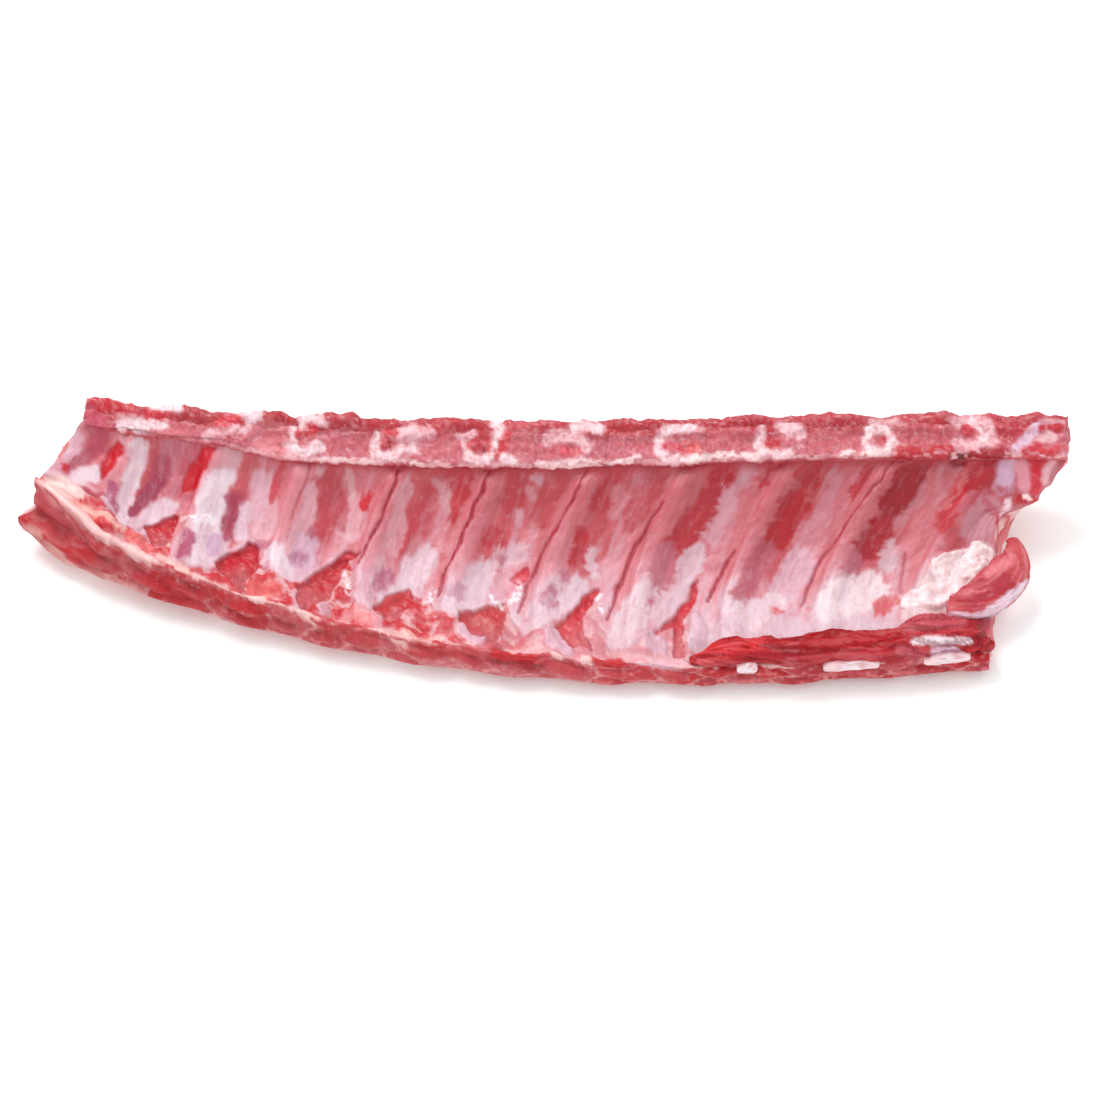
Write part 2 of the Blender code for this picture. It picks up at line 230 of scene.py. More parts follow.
def plain_inner(u, t):
    """Y and Z of the inner surface, raised a little to the spine's lip, without its pockets."""
    lip_y, lip_z = lip(u)
    end_y, end_z = lip_y - EDGE_INSET, lip_z - EDGE_BELOW_LIP
    y = rim_y(u) + (end_y - rim_y(u)) * t + tuck(u) * ramp(t, 0.8, 1.0)
    sag = TROUGH_SAG * (end_y - rim_y(u)) / FULL_WIDTH
    lift = (EDGE_LIFT - EDGE_LIFT_LOST * ramp(u, 1.6, 3.4)) * ramp(t, 0.86, 1.0)
    z = rim_z(u) + (end_z - rim_z(u)) * t - sag * np.sin(np.pi * t) + lift
    fade = ramp(t, 0.0, 0.12) * (1.0 - ramp(t, 0.9, 1.0))
    lumps = 0.5 * np.sin(5.1 * u + 7.0 * t) * np.sin(11.0 * t + 1.3 * u)
    return y, z + (lumps - INTERCOSTAL_SAG * np.sin(np.pi * u) ** 2) * fade


def spine_point(u, along, out):
    """Points by the sawn face: along it from lip to back, and out of it."""
    lip_y, lip_z = lip(u)
    top_y, top_z = top(u)
    length = np.hypot(top_y - lip_y, top_z - lip_z)
    dy, dz = (top_y - lip_y) / length, (top_z - lip_z) / length
    return lip_y + along * dy - out * dz, lip_z + along * dz + out * dy


# ---- noise ----
LATTICE_SIDE = 256
LATTICES = {}


def noise(x, y, seed):
    """Smooth noise from 0 to 1 over a plane, one cell for each unit."""
    if seed not in LATTICES:
        LATTICES[seed] = np.random.RandomState(seed).rand(LATTICE_SIDE, LATTICE_SIDE)
    grid = LATTICES[seed]
    x, y = np.broadcast_arrays(np.asarray(x, dtype=float), np.asarray(y, dtype=float))
    column, row = np.floor(x).astype(int), np.floor(y).astype(int)
    fx, fy = x - column, y - row
    fx, fy = fx * fx * (3.0 - 2.0 * fx), fy * fy * (3.0 - 2.0 * fy)
    c0, c1 = column % LATTICE_SIDE, (column + 1) % LATTICE_SIDE
    r0, r1 = row % LATTICE_SIDE, (row + 1) % LATTICE_SIDE
    low = grid[r0, c0] * (1.0 - fx) + grid[r0, c1] * fx
    high = grid[r1, c0] * (1.0 - fx) + grid[r1, c1] * fx
    return low * (1.0 - fy) + high * fy


def clouds(x, y, seed, octaves=4):
    """Layered noise about 0, mostly from -0.5 to 0.5."""
    total, size, weight = 0.0, 1.0, 1.0
    for octave in range(octaves):
        total = total + weight * (noise(x * size, y * size, seed + octave) - 0.5)
        size *= 2.03
        weight *= 0.55
    return total


def lobes(a, b, seed):
    """A jittered brick pattern: distance to each cell's border, and a value for each cell."""
    picks = np.random.RandomState(seed).rand(3, LATTICE_SIDE, LATTICE_SIDE)
    a, b = np.broadcast_arrays(np.asarray(a, dtype=float), np.asarray(b, dtype=float))
    column, row = np.floor(a).astype(int), np.floor(b).astype(int)
    best, second = np.full(a.shape, 1e9), np.full(a.shape, 1e9)
    value = np.zeros(a.shape)
    for down in (-1, 0, 1):
        for side in (-2, -1, 0, 1, 2):
            i, j = column + side, row + down
            pick = picks[:, j % LATTICE_SIDE, i % LATTICE_SIDE]
            ca = i + 0.5 + 0.5 * (j % 2) + 0.7 * (pick[0] - 0.5)
            cb = j + 0.5 + 0.6 * (pick[1] - 0.5)
            away = np.hypot(a - ca, b - cb)
            closer = away < best
            second = np.where(closer, best, np.minimum(second, away))
            value = np.where(closer, pick[2], value)
            best = np.minimum(best, away)
    return second - best, value


# ---- paint ----
def linear(colour):
    """A colour given as 0 to 255, as linear light."""
    c = np.array(colour, dtype=float) / 255.0
    return np.where(c <= 0.04045, c / 12.92, ((c + 0.055) / 1.055) ** 2.4)


def over(paint, colour, mask):
    """paint with a colour laid over it where mask is 1."""
    mask = np.clip(mask, 0.0, 1.0)[..., None]
    return paint * (1.0 - mask) + linear(colour) * mask


def cast(points):
    """The photograph's pixel that each point, in the part's millimetres, shows at."""
    p = points - CENTRE - AIM
    toward = np.array((0.0, -math.cos(ELEVATION), math.sin(ELEVATION)))
    up = np.array((0.0, math.sin(ELEVATION), math.cos(ELEVATION)))
    scale = DISTANCE / (DISTANCE - p @ toward) / MM_PER_PIXEL
    half = PHOTO_SIDE / 2.0
    return half + p[..., 0] * scale, half - (p @ up) * scale


def stroke(px, py, line, soft):
    """1 on a line of (x, y, half width) in pixels, fading to 0 over soft pixels beyond it."""
    best = np.full(np.shape(px), 1e9)
    spots = list(line) if len(line) > 1 else [line[0], line[0]]
    for (ax, ay, aw), (bx, by, bw) in zip(spots, spots[1:]):
        dx, dy = bx - ax, by - ay
        length = max(dx * dx + dy * dy, 1e-9)
        s = np.clip(((px - ax) * dx + (py - ay) * dy) / length, 0.0, 1.0)
        away = np.hypot(px - ax - s * dx, py - ay - s * dy) - (aw + (bw - aw) * s)
        best = np.minimum(best, away)
    return 1.0 - ramp(best, 0.0, soft)


def within(x, y, corners):
    """True where (x, y) lies inside a closed outline."""
    result = np.zeros(np.shape(x), dtype=bool)
    for (ax, ay), (bx, by) in zip(corners, np.roll(corners, -1, axis=0)):
        if by != ay:
            result ^= ((ay > y) != (by > y)) & (x < (bx - ax) * (y - ay) / (by - ay) + ax)
    return result


def patch(px, py, corners, soft):
    """1 inside a polygon of pixels, fading to 0 over soft pixels outside it."""
    spots = [(x, y, 0.0) for x, y in corners]
    return np.where(within(px, py, corners), 1.0, stroke(px, py, spots + spots[:1], soft))


def strongest(masks):
    """The highest of several masks at each point."""
    return np.maximum.reduce(list(masks))


def filled(like, colour):
    """Paint of one colour for every point."""
    return np.ones(like.shape[:-1] + (1,)) * linear(colour)


def layered(paint, *layers):
    """paint with layers of (colour, mask) laid over it in turn."""
    for colour, mask in layers:
        paint = over(paint, colour, mask)
    return paint


def streaked(paint, px, py, strokes, widen=1.0, mask=1.0):
    """paint with strokes of (line, softness, colour, strength) laid over it in turn."""
    for line, soft, colour, strength in strokes:
        paint = over(paint, colour, strength * mask * stroke(px, py, line, widen * soft))
    return paint


def frayed(px, py, reach, size, seeds, octaves=4):
    """Pixels shifted by noise, so that what is painted at them has torn edges."""
    return (px + reach[0] * clouds(px / size[0], py / size[1], seeds[0], octaves),
            py + reach[1] * clouds(px / size[0], py / size[1], seeds[1], octaves))


# ---- colours, 0 to 255 ----
RIB_PINK = (227, 162, 172)
RIB_PALE = (236, 196, 207)
LAVENDER = (226, 188, 203)
FILM_WHITE = (234, 219, 231)
FILM_BRIGHT = (248, 240, 250)
MAUVE = (200, 122, 136)
PURPLE = (164, 78, 98)
BLOOD = (200, 42, 52)
FAT = (246, 226, 228)
MARROW = (204, 108, 120)
MARROW_LIGHT = (222, 146, 156)
# painted shade inside a small hole in the sawn spine
HOLE_SHADE = (90, 20, 22)
RIM_PALE = (240, 196, 194)
FLECK = (240, 205, 210)

# ---- features of the slab; a line is points of (x, y, half width) in photo pixels ----
# the dark grooves along the ribs, as (line, strength)
GROOVES = (
    (((311, 459, 0.2), (305, 485, 0.5), (297, 505, 0.4), (291, 520, 0.2)), 0.55),
    (((398, 469, 0.3), (392, 494, 0.6), (377, 528, 1.0), (368, 546, 0.8), (359, 566, 0.2)), 0.95),
    (((490, 468, 0.8), (484, 486, 1.0), (472, 515, 1.1), (457, 548, 1.1), (446, 573, 0.7),
      (437, 595, 0.2)), 1.0),
    (((587, 468, 0.2), (574, 499, 0.9), (565, 514, 0.5), (557, 527, 0.8), (546, 548, 0.6),
      (537, 567, 0.9), (529, 583, 0.5), (518, 612, 0.1)), 0.9),
    (((662, 502, 0.3), (649, 524, 0.5), (637, 546, 1.0), (626, 569, 1.0), (618, 588, 1.1),
      (607, 620, 0.2)), 0.95),
    (((735, 551, 0.2), (722, 571, 0.7), (713, 588, 0.8), (706, 601, 0.4)), 0.95),
    (((900, 452, 0.1), (880, 480, 0.3), (859, 507, 0.4), (838, 537, 0.5), (819, 565, 0.7),
      (806, 592, 0.5), (801, 606, 0.1)), 0.85),
    (((905, 553, 0.4), (903, 573, 0.5), (900, 592, 0.2)), 0.6),
)
# dark red openings in the membrane, as corners
SLITS = (
    ((118, 440), (123, 445), (122, 455), (114, 469), (101, 478), (101, 466), (108, 455)),
    ((202, 447), (217, 447), (212, 455), (196, 489), (182, 493), (187, 476)),
)
# where the pale membrane ends above the near border, as (x, y)
MEMBRANE_EDGE = (
    (20, 470), (55, 476), (72, 483), (90, 491), (100, 497), (110, 513), (123, 527), (137, 532),
    (143, 528), (177, 515), (179, 520), (168, 545), (173, 562), (187, 567), (207, 569), (213, 567),
    (235, 550), (252, 545), (258, 562), (270, 574), (287, 584), (299, 585), (312, 577), (327, 567),
    (345, 555), (352, 570), (350, 597), (357, 609), (370, 611), (385, 602), (400, 595), (412, 594),
    (428, 600), (437, 612), (455, 619), (470, 613), (493, 607), (506, 603), (512, 618), (522, 630),
    (540, 632), (553, 624), (573, 611), (590, 594), (598, 600), (600, 628), (610, 643), (627, 649),
    (640, 642), (657, 634), (673, 614), (690, 592), (696, 600), (690, 625), (688, 646), (707, 650),
    (740, 648), (780, 646), (900, 640), (1010, 640),
)
# strokes on the membrane, each (line, softness, colour, strength), laid on in this order
SHADES = (
    # far left unit
    (((98, 432, 9), (96, 448, 8)), 7, (182, 82, 100), 0.9),
    (((75, 438, 6), (70, 456, 5)), 6, LAVENDER, 0.9),
    (((80, 478, 6), (94, 474, 6)), 5, FILM_BRIGHT, 0.9),
    (((92, 451, 4), (78, 462, 5), (66, 469, 3)), 5, PURPLE, 0.85),
    (((65, 467, 3),), 3, BLOOD, 0.9),
    # first unit
    (((131, 446, 9), (127, 456, 7)), 6, RIB_PINK, 0.8),
    (((138, 446, 5), (136, 464, 6), (130, 482, 7), (124, 502, 8), (118, 522, 5)), 6, FILM_BRIGHT,
     0.9),
    (((146, 522, 7), (168, 506, 6)), 6, FILM_WHITE, 0.9),
    (((172, 438, 8), (180, 470, 8), (176, 492, 5)), 9, MAUVE, 0.9),
    (((161, 464, 7), (158, 482, 7)), 7, PURPLE, 0.9),
    (((160, 481, 6), (146, 499, 6), (131, 511, 4)), 4, (150, 66, 94), 0.95),
    (((110, 486, 4), (108, 502, 5), (112, 516, 4)), 4, (166, 92, 130), 0.9),
    # second unit
    (((196, 448, 6), (190, 470, 8), (186, 494, 6)), 8, (190, 92, 108), 0.8),
    (((232, 452, 8), (224, 474, 8)), 7, (226, 188, 196), 0.85),
    (((222, 478, 8), (212, 504, 13), (206, 530, 12), (198, 562, 7)), 7, FILM_BRIGHT, 0.95),
    (((222, 540, 5), (216, 556, 7)), 6, FILM_WHITE, 0.9),
    (((246, 508, 5), (240, 532, 6)), 5, (236, 220, 234), 0.85),
    (((262, 480, 6), (257, 512, 6)), 6, LAVENDER, 0.9),
    (((272, 506, 5), (266, 530, 8)), 8, (236, 196, 206), 0.8),
    (((241, 494, 4), (240, 499, 4)), 5, PURPLE, 0.8),
    (((232, 498, 4), (229, 520, 6), (227, 534, 4)), 5, (158, 70, 96), 0.9),
    (((188, 538, 4), (184, 559, 6)), 5, (164, 76, 112), 0.9),
    (((214, 540, 5), (212, 550, 5)), 6, (198, 168, 200), 0.75),
    (((252, 550, 3), (262, 542, 3), (268, 549, 2)), 4, (186, 116, 142), 0.8),
    (((283, 463, 3.5), (277, 483, 4), (272, 500, 2.5)), 3, (202, 76, 86), 0.85),
    # third unit
    (((314, 490, 5), (303, 530, 6), (290, 560, 10)), 7, RIB_PALE, 0.8),
    (((310, 540, 8), (300, 566, 9)), 8, (222, 196, 216), 0.9),
    (((276, 556, 7), (284, 574, 7)), 6, FILM_BRIGHT, 0.9),
    (((330, 478, 8), (331, 505, 10), (324, 531, 5)), 7, (188, 82, 92), 0.9),
    (((358, 502, 5), (350, 532, 8)), 8, (234, 190, 200), 0.8),
    (((342, 498, 3), (342, 527, 3)), 4, (186, 84, 96), 0.8),
    (((299, 558, 4),), 8, (172, 118, 156), 0.75),
    (((311, 532, 4),), 5, (180, 96, 116), 0.8),
    (((350, 468, 3), (355, 497, 3)), 3, (228, 190, 194), 0.8),
    (((320, 470, 3), (324, 462, 3)), 4, (224, 196, 200), 0.7),
    (((368, 497, 3), (364, 508, 2.5)), 3, (206, 28, 42), 0.95),
    # fourth unit
    (((420, 556, 13), (410, 580, 11), (398, 592, 8)), 8, FILM_WHITE, 0.9),
    (((462, 472, 10), (460, 490, 8), (455, 516, 4)), 6, (190, 54, 62), 0.9),
    (((430, 492, 6), (421, 524, 7), (406, 546, 7)), 8, (190, 74, 84), 0.75),
    (((386, 576, 6), (380, 585, 5)), 6, (176, 102, 132), 0.8),
    (((438, 480, 3), (443, 500, 3), (446, 512, 2)), 4, (224, 180, 188), 0.7),
    (((405, 486, 4), (398, 526, 7), (391, 548, 5)), 6, (230, 182, 192), 0.85),
    # fifth unit
    (((483, 572, 11), (470, 600, 12), (452, 616, 9)), 8, FILM_WHITE, 0.95),
    (((505, 558, 8), (520, 550, 6)), 7, FILM_WHITE, 0.7),
    (((518, 476, 9), (512, 502, 8)), 9, (190, 76, 86), 0.8),
    (((494, 537, 8),), 6, (184, 60, 72), 0.85),
    (((457, 594, 6),), 7, (188, 138, 162), 0.75),
    (((502, 558, 4),), 4, (190, 120, 142), 0.75),
    (((536, 474, 3), (541, 480, 3)), 3, (228, 196, 206), 0.8),
    (((529, 488, 3), (533, 498, 2)), 3, (224, 180, 190), 0.7),
    (((517, 514, 3), (520, 522, 3)), 3, (226, 184, 198), 0.8),
    (((560, 478, 7), (546, 500, 8), (537, 520, 6)), 9, (176, 62, 66), 0.75),
    # sixth unit
    (((572, 590, 11), (552, 616, 11), (536, 630, 7)), 8, FILM_WHITE, 0.95),
    (((610, 476, 8), (601, 500, 8)), 8, (190, 68, 78), 0.85),
    (((581, 534, 5), (575, 560, 6)), 6, (188, 50, 60), 0.85),
    (((553, 597, 6), (548, 606, 5)), 6, (180, 112, 138), 0.8),
    (((563, 577, 4),), 5, (190, 124, 148), 0.7),
    (((590, 552, 4), (593, 574, 4)), 4, FILM_WHITE, 0.8),
    (((620, 492, 4), (615, 512, 4)), 6, (226, 170, 176), 0.7),
    (((655, 478, 7), (643, 500, 8), (634, 522, 6)), 9, (184, 74, 82), 0.75),
    # seventh unit
    (((724, 463, 8), (718, 482, 8)), 5, (186, 42, 52), 0.95),
    (((712, 492, 7), (703, 508, 8), (690, 528, 11), (678, 545, 11)), 6, (184, 62, 70), 0.95),
    (((668, 556, 8), (660, 574, 7), (654, 592, 4)), 9, (200, 132, 148), 0.85),
    (((748, 462, 7), (743, 482, 6)), 5, (218, 178, 190), 0.9),
    (((727, 494, 7), (722, 515, 7), (712, 536, 7)), 4, (226, 186, 202), 0.9),
    (((695, 556, 8), (684, 580, 8), (672, 600, 8)), 6, FILM_WHITE, 0.85),
    (((645, 596, 10), (630, 622, 12), (612, 640, 7)), 8, (240, 224, 233), 0.95),
    (((652, 602, 3),), 4, (178, 92, 122), 0.7),
    # eighth unit
    (((815, 457, 8), (806, 478, 8)), 6, (178, 44, 52), 0.95),
    (((795, 500, 10), (786, 522, 11), (778, 536, 10)), 6, (182, 40, 48), 0.95),
    (((764, 550, 8), (752, 574, 8), (743, 598, 5)), 9, (190, 106, 122), 0.85),
    (((768, 468, 4), (761, 484, 3)), 5, (192, 58, 68), 0.85),
    (((835, 478, 5), (824, 508, 7), (806, 540, 8)), 5, (216, 158, 170), 0.85),
    (((800, 560, 11), (786, 588, 12)), 8, (228, 196, 212), 0.9),
    (((776, 604, 9), (750, 620, 10), (733, 612, 6)), 8, (240, 224, 234), 0.95),
    (((776, 612, 3),), 5, (216, 88, 96), 0.8),
    # ninth unit
    (((905, 451, 8), (935, 451, 8)), 4, (200, 34, 46), 0.9),
    (((918, 462, 12), (906, 482, 12), (893, 505, 13)), 6, (146, 32, 39), 0.95),
    (((880, 528, 11), (868, 546, 9)), 6, (166, 44, 52), 0.95),
    (((853, 562, 7), (847, 577, 5)), 7, (186, 112, 132), 0.85),
    (((869, 469, 4), (855, 492, 4)), 4, (186, 42, 50), 0.85),
    (((936, 480, 6), (925, 520, 7), (912, 552, 8)), 7, (222, 140, 150), 0.85),
    (((944, 466, 2), (938, 500, 2)), 3, (226, 168, 176), 0.8),
    (((872, 588, 14), (842, 600, 15), (826, 614, 10)), 9, (254, 245, 251), 0.95),
    (((886, 562, 6), (893, 545, 5)), 5, FILM_WHITE, 0.8),
    (((876, 610, 4), (886, 603, 6), (896, 600, 4)), 5, (214, 100, 102), 0.85),
    # right of the last rib
    (((976, 466, 8), (956, 500, 8), (940, 530, 4)), 6, (206, 60, 68), 0.9),
    (((966, 476, 1.5), (946, 508, 1.5)), 2, (230, 140, 140), 0.8),
    (((996, 455, 9), (986, 474, 10), (974, 490, 7)), 6, (172, 38, 48), 0.95),
    (((955, 535, 5), (945, 552, 4)), 6, (200, 96, 104), 0.8),
    (((1008, 458, 8), (1003, 484, 8)), 6, (222, 184, 208), 0.9),
    (((990, 508, 11), (974, 530, 11)), 8, (226, 180, 194), 0.9),
    (((985, 502, 3), (994, 512, 3)), 4, (200, 96, 116), 0.7),
    (((1006, 452, 2), (998, 470, 2), (1004, 488, 2)), 3, (192, 84, 106), 0.8),
    (((1014, 462, 2), (1012, 476, 2)), 3, (182, 64, 84), 0.75),
    (((982, 490, 3), (966, 506, 3)), 4, (214, 120, 136), 0.7),
    (((915, 602, 10), (935, 597, 13), (955, 590, 11)), 6, FAT, 0.95),
    (((912, 611, 6), (950, 607, 6)), 5, FAT, 0.9),
    (((938, 566, 6), (962, 562, 8)), 6, (240, 208, 212), 0.9),
    (((980, 556, 10), (985, 572, 8)), 5, FAT, 0.95),
    (((945, 557, 3), (934, 561, 2)), 3, (212, 88, 98), 0.8),
    (((998, 512, 2), (1000, 540, 3), (1004, 556, 2)), 3, (196, 60, 76), 0.85),
)
# openings between the rib ends, each (corners, colour, depth in mm)
POCKETS = (
    (((144, 528), (175, 515), (178, 518), (168, 536), (153, 546), (149, 534)), (204, 52, 62), 1.6),
    (((213, 567), (249, 544), (257, 552), (256, 561), (239, 583), (220, 574)), (198, 44, 54), 2.6),
    (((295, 588), (327, 566), (347, 552), (357, 552), (349, 559), (340, 577), (328, 594),
      (311, 608), (301, 603)), (192, 48, 56), 1.8),
    (((372, 610), (398, 596), (408, 593), (416, 601), (403, 615), (394, 623)), (196, 60, 64), 1.4),
    (((459, 618), (480, 609), (504, 602), (505, 609), (504, 622), (492, 639), (478, 633),
      (470, 629)), (190, 66, 68), 1.4),
    (((511, 581), (519, 573), (528, 570), (526, 577), (516, 583)), (200, 36, 54), 1.0),
    (((553, 627), (572, 616), (583, 602), (600, 587), (598, 594), (583, 620), (583, 637),
      (587, 650), (572, 646)), (200, 44, 54), 1.6),
    (((698, 584), (694, 601), (682, 618), (684, 630), (680, 641), (686, 651), (677, 651),
      (671, 641), (675, 626), (655, 635), (670, 620), (683, 602)), (200, 42, 54), 1.6),
    # a small hole in the spine, sunk a little and painted dark as its shade
    (((950, 455), (958, 452), (969, 455), (966, 463), (956, 464)), HOLE_SHADE, 2.4),
)
# painted highlights of the moist film, laid into the colour in near white; the film is also smoother
# there
GLINTS = (
    ((343, 572, 0.3), (347, 584, 1.2), (350, 594, 0.8)),
    ((434, 588, 0.6), (429, 595, 1.2), (424, 600, 0.3)),
    ((493, 594, 0.4), (499, 601, 1.4), (504, 604, 0.4)),
    ((519, 582, 0.4), (517, 593, 1.4), (512, 605, 0.5)),
    ((603, 594, 0.2), (601, 606, 0.8), (600, 614, 0.2)),
    ((182, 520, 0.4), (198, 519, 1.6), (214, 521, 0.8)),
)
# pale lumps that stand out of the border
LUMPS = (
    ((140, 535, 4),),
    ((300, 602, 4), (296, 596, 3)),
    ((324, 605, 4),),
    ((377, 618, 5),),
    ((466, 630, 6), (480, 640, 3)),
    ((552, 638, 7), (566, 648, 4)),
    ((650, 643, 7), (662, 648, 4)),
    ((694, 618, 4), (700, 632, 5)),
)
# the fold of fat that the slab has under the lump of fat
FAT_LINE = (
    (910, 604, 7), (930, 600, 11), (952, 590, 12), (938, 568, 6), (962, 560, 9), (985, 556, 9),
)
# strokes on the near border and at the torn right end
END_SHADES = (
    (((50, 482, 5), (64, 487, 7), (80, 493, 3)), 4, (244, 214, 210), 0.9),
    (((70, 502, 1), (80, 505, 2)), 3, (214, 84, 78), 0.8),
    (((84, 516, 2), (104, 521, 3)), 3, (212, 84, 80), 0.8),
    (((82, 487, 0.8), (102, 496, 1.2)), 2, (176, 66, 86), 0.8),
    (((62, 498, 2), (90, 511, 2), (122, 531, 2)), 3, (240, 196, 188), 0.7),
    (((128, 536, 3), (150, 548, 3)), 3, (216, 96, 96), 0.8),
    (((160, 556, 2), (186, 571, 2)), 3, (242, 204, 198), 0.7),
    (((250, 583, 4), (276, 592, 4)), 4, (216, 96, 92), 0.8),
    (((236, 594, 2), (262, 597, 2)), 3, (244, 204, 196), 0.8),
    (((346, 612, 3), (374, 620, 4)), 5, (226, 150, 154), 0.7),
    (((950, 622, 5), (985, 628, 7)), 5, (204, 86, 96), 0.9),
    (((1008, 500, 2), (1004, 520, 2), (999, 538, 2)), 3, (240, 214, 222), 0.9),
    (((1008, 462, 6), (1004, 480, 6)), 5, (214, 180, 205), 0.8),
    (((1022, 466, 5), (1024, 486, 4)), 6, (226, 156, 170), 0.85),
    (((1040, 452, 9), (1038, 466, 6)), 6, (196, 46, 58), 0.9),
    (((1036, 472, 3), (1035, 490, 3)), 4, (202, 40, 56), 0.8),
    (((1050, 436, 5), (1052, 456, 4)), 4, (206, 70, 78), 0.9),
    (((1053, 462, 2), (1044, 480, 2)), 5, (236, 190, 198), 0.7),
    (((1020, 500, 3), (1034, 500, 3)), 2, (176, 38, 48), 0.9),
    (((1026, 497, 2), (1030, 499, 1)), 2, (246, 220, 222), 0.9),
)
# strokes on the cut wall
WALL_SHADES = (
    (((18, 517, 4), (28, 520, 4)), 3, (197, 47, 53), 0.95),
    (((500, 654, 8), (540, 661, 8)), 7, (158, 34, 42), 0.9),
    (((140, 582, 6), (172, 592, 7), (196, 603, 5)), 7, (206, 58, 68), 0.8),
    (((30, 528, 3), (36, 534, 3)), 3, (239, 186, 176), 0.9),
    (((42, 512, 8), (60, 530, 9)), 6, (186, 57, 64), 0.8),
    (((70, 552, 6), (96, 556, 6)), 4, (197, 34, 43), 0.95),
    (((46, 545, 3), (62, 562, 3)), 3, (237, 176, 171), 0.9),
    (((64, 566, 3), (110, 580, 3), (152, 593, 2)), 3, (235, 172, 169), 0.85),
    (((104, 556, 6), (128, 566, 6)), 5, (191, 91, 95), 0.8),
    (((155, 577, 5), (170, 580, 4)), 4, (195, 43, 51), 0.9),
    (((156, 592, 6), (182, 596, 6)), 4, (193, 41, 49), 0.95),
    (((205, 590, 5), (220, 598, 5)), 4, (191, 45, 53), 0.9),
    (((236, 604, 4), (264, 610, 4)), 3, (199, 38, 47), 0.9),
    (((238, 618, 4), (266, 624, 4)), 3, (186, 41, 51), 0.9),
    (((274, 622, 5), (300, 628, 5)), 4, (191, 79, 85), 0.85),
    (((306, 617, 1), (322, 630, 1)), 2.5, (241, 191, 184), 0.9),
    (((326, 628, 6), (372, 640, 6)), 4, (187, 55, 62), 0.8),
    (((392, 640, 1), (410, 647, 1.5)), 2.5, (241, 191, 186), 0.9),
    (((402, 632, 2), (442, 636, 2)), 3, (241, 193, 187), 0.85),
    (((414, 648, 5), (450, 652, 5)), 4, (187, 51, 58), 0.85),
    (((458, 652, 5), (486, 658, 5)), 4, (186, 60, 68), 0.8),
    (((498, 654, 5), (532, 658, 5)), 4, (191, 41, 49), 0.95),
    (((508, 644, 1.5), (540, 648, 1.5)), 3, (239, 189, 189), 0.8),
    (((544, 660, 4), (580, 672, 4)), 4, (191, 68, 76), 0.85),
    (((598, 660, 5), (618, 662, 5)), 4, (191, 38, 45), 0.95),
    (((640, 660, 4), (664, 664, 4), (682, 664, 3)), 4, (227, 182, 193), 0.9),
    (((650, 673, 2), (684, 676, 2)), 3, (186, 70, 77), 0.85),
)


# ---- mesh helpers ----
def points_at(x, y, z):
    """Points from coordinates that broadcast together."""
    return np.stack(np.broadcast_arrays(x, y, z), axis=-1)


def normals_of(points, closed):
    """Unit normals of a grid of points: rings first, places in a ring second."""
    along = np.gradient(points, axis=0)
    if closed:
        around = (np.roll(points, -1, axis=1) - np.roll(points, 1, axis=1)) / 2.0
    else:
        around = np.gradient(points, axis=1)
    normal = np.cross(around, along)
    return normal / np.maximum(np.linalg.norm(normal, axis=2, keepdims=True), 1e-9)


def grid_faces(rings, count):
    """Quads between closed rings of points."""
    i, j = np.arange(rings - 1)[:, None], np.arange(count)[None, :]
    nxt = (j + 1) % count
    corners = (i * count + j, i * count + nxt, (i + 1) * count + nxt, (i + 1) * count + j)
    return np.stack(np.broadcast_arrays(*corners), axis=-1).reshape(-1, 4)


def fan_cap(ring_start, centre, count, first):
    """Triangles from a ring to one point."""
    j = np.arange(count)
    nxt = (j + 1) % count
    around = (ring_start + nxt, ring_start + j) if first else (ring_start + j, ring_start + nxt)
    return np.stack((np.full(count, centre), *around), axis=-1)


def volume_of(points, faces):
    """Signed volume of a closed mesh of triangles and quads."""
    total = 0.0
    for corners in faces:
        a, b, c = (points[corners[:, k]] for k in range(3))
        total += np.einsum("ij,ij->i", a, np.cross(b, c)).sum()
        if corners.shape[1] == 4:
            d = points[corners[:, 3]]
            total += np.einsum("ij,ij->i", a, np.cross(c, d)).sum()
    return total / 6.0


def add(name, data):
    """A new object in the scene."""
    made = bpy.data.objects.new(name, data)
    bpy.context.scene.collection.objects.link(made)
    return made


def make_piece(name, points, faces, look, layers, replaced):
    """A closed mesh piece from points in mm, with its paint and masks, that rides on the rack."""
    if volume_of(points, faces) < 0.0:
        faces = [corners[:, ::-1] for corners in faces]
    mesh = bpy.data.meshes.new(name)
    listed = [corner for corners in faces for corner in corners.tolist()]
    mesh.from_pydata(((points - CENTRE) * MM).tolist(), [], listed)
    grey = layers["paint"].mean(axis=1, keepdims=True)
    rich = np.clip(grey + (layers["paint"] - grey) * RICHNESS, 0.0, 1.0)
    rgba = np.concatenate((rich, np.ones((len(rich), 1))), axis=1)
    for layer, kind, field, values in (("paint", "FLOAT_COLOR", "color", rgba),
                                       ("film", "FLOAT", "value", layers["film"]),
                                       ("flow", "FLOAT_VECTOR", "vector", layers["flow"])):
        made = mesh.attributes.new(layer, kind, "POINT")
        made.data.foreach_set(field, values.astype(np.float32).ravel())
    mesh.materials.append(look)
    mesh.shade_smooth()
    mesh.validate()
    piece = add(name, mesh)
    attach(piece, "root")
    if replaced:
        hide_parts(*replaced)
    return piece


def through(controls, shares):
    """Smooth curves through control points (stations, points, 3), at shares counted in points."""
    last = controls.shape[1] - 1
    at = np.clip(np.asarray(shares, dtype=float), 0.0, last)
    k = np.minimum(at.astype(int), last - 1)
    s = (at - k)[None, :, None]
    before, after = np.maximum(k - 1, 0), np.minimum(k + 2, last)
    p0, p1, p2, p3 = (controls[:, index] for index in (before, k, k + 1, after))
    return 0.5 * (2.0 * p1 + (p2 - p0) * s + (2.0 * p0 - 5.0 * p1 + 4.0 * p2 - p3) * s ** 2
                  + (3.0 * p1 - p0 - 3.0 * p2 + p3) * s ** 3)


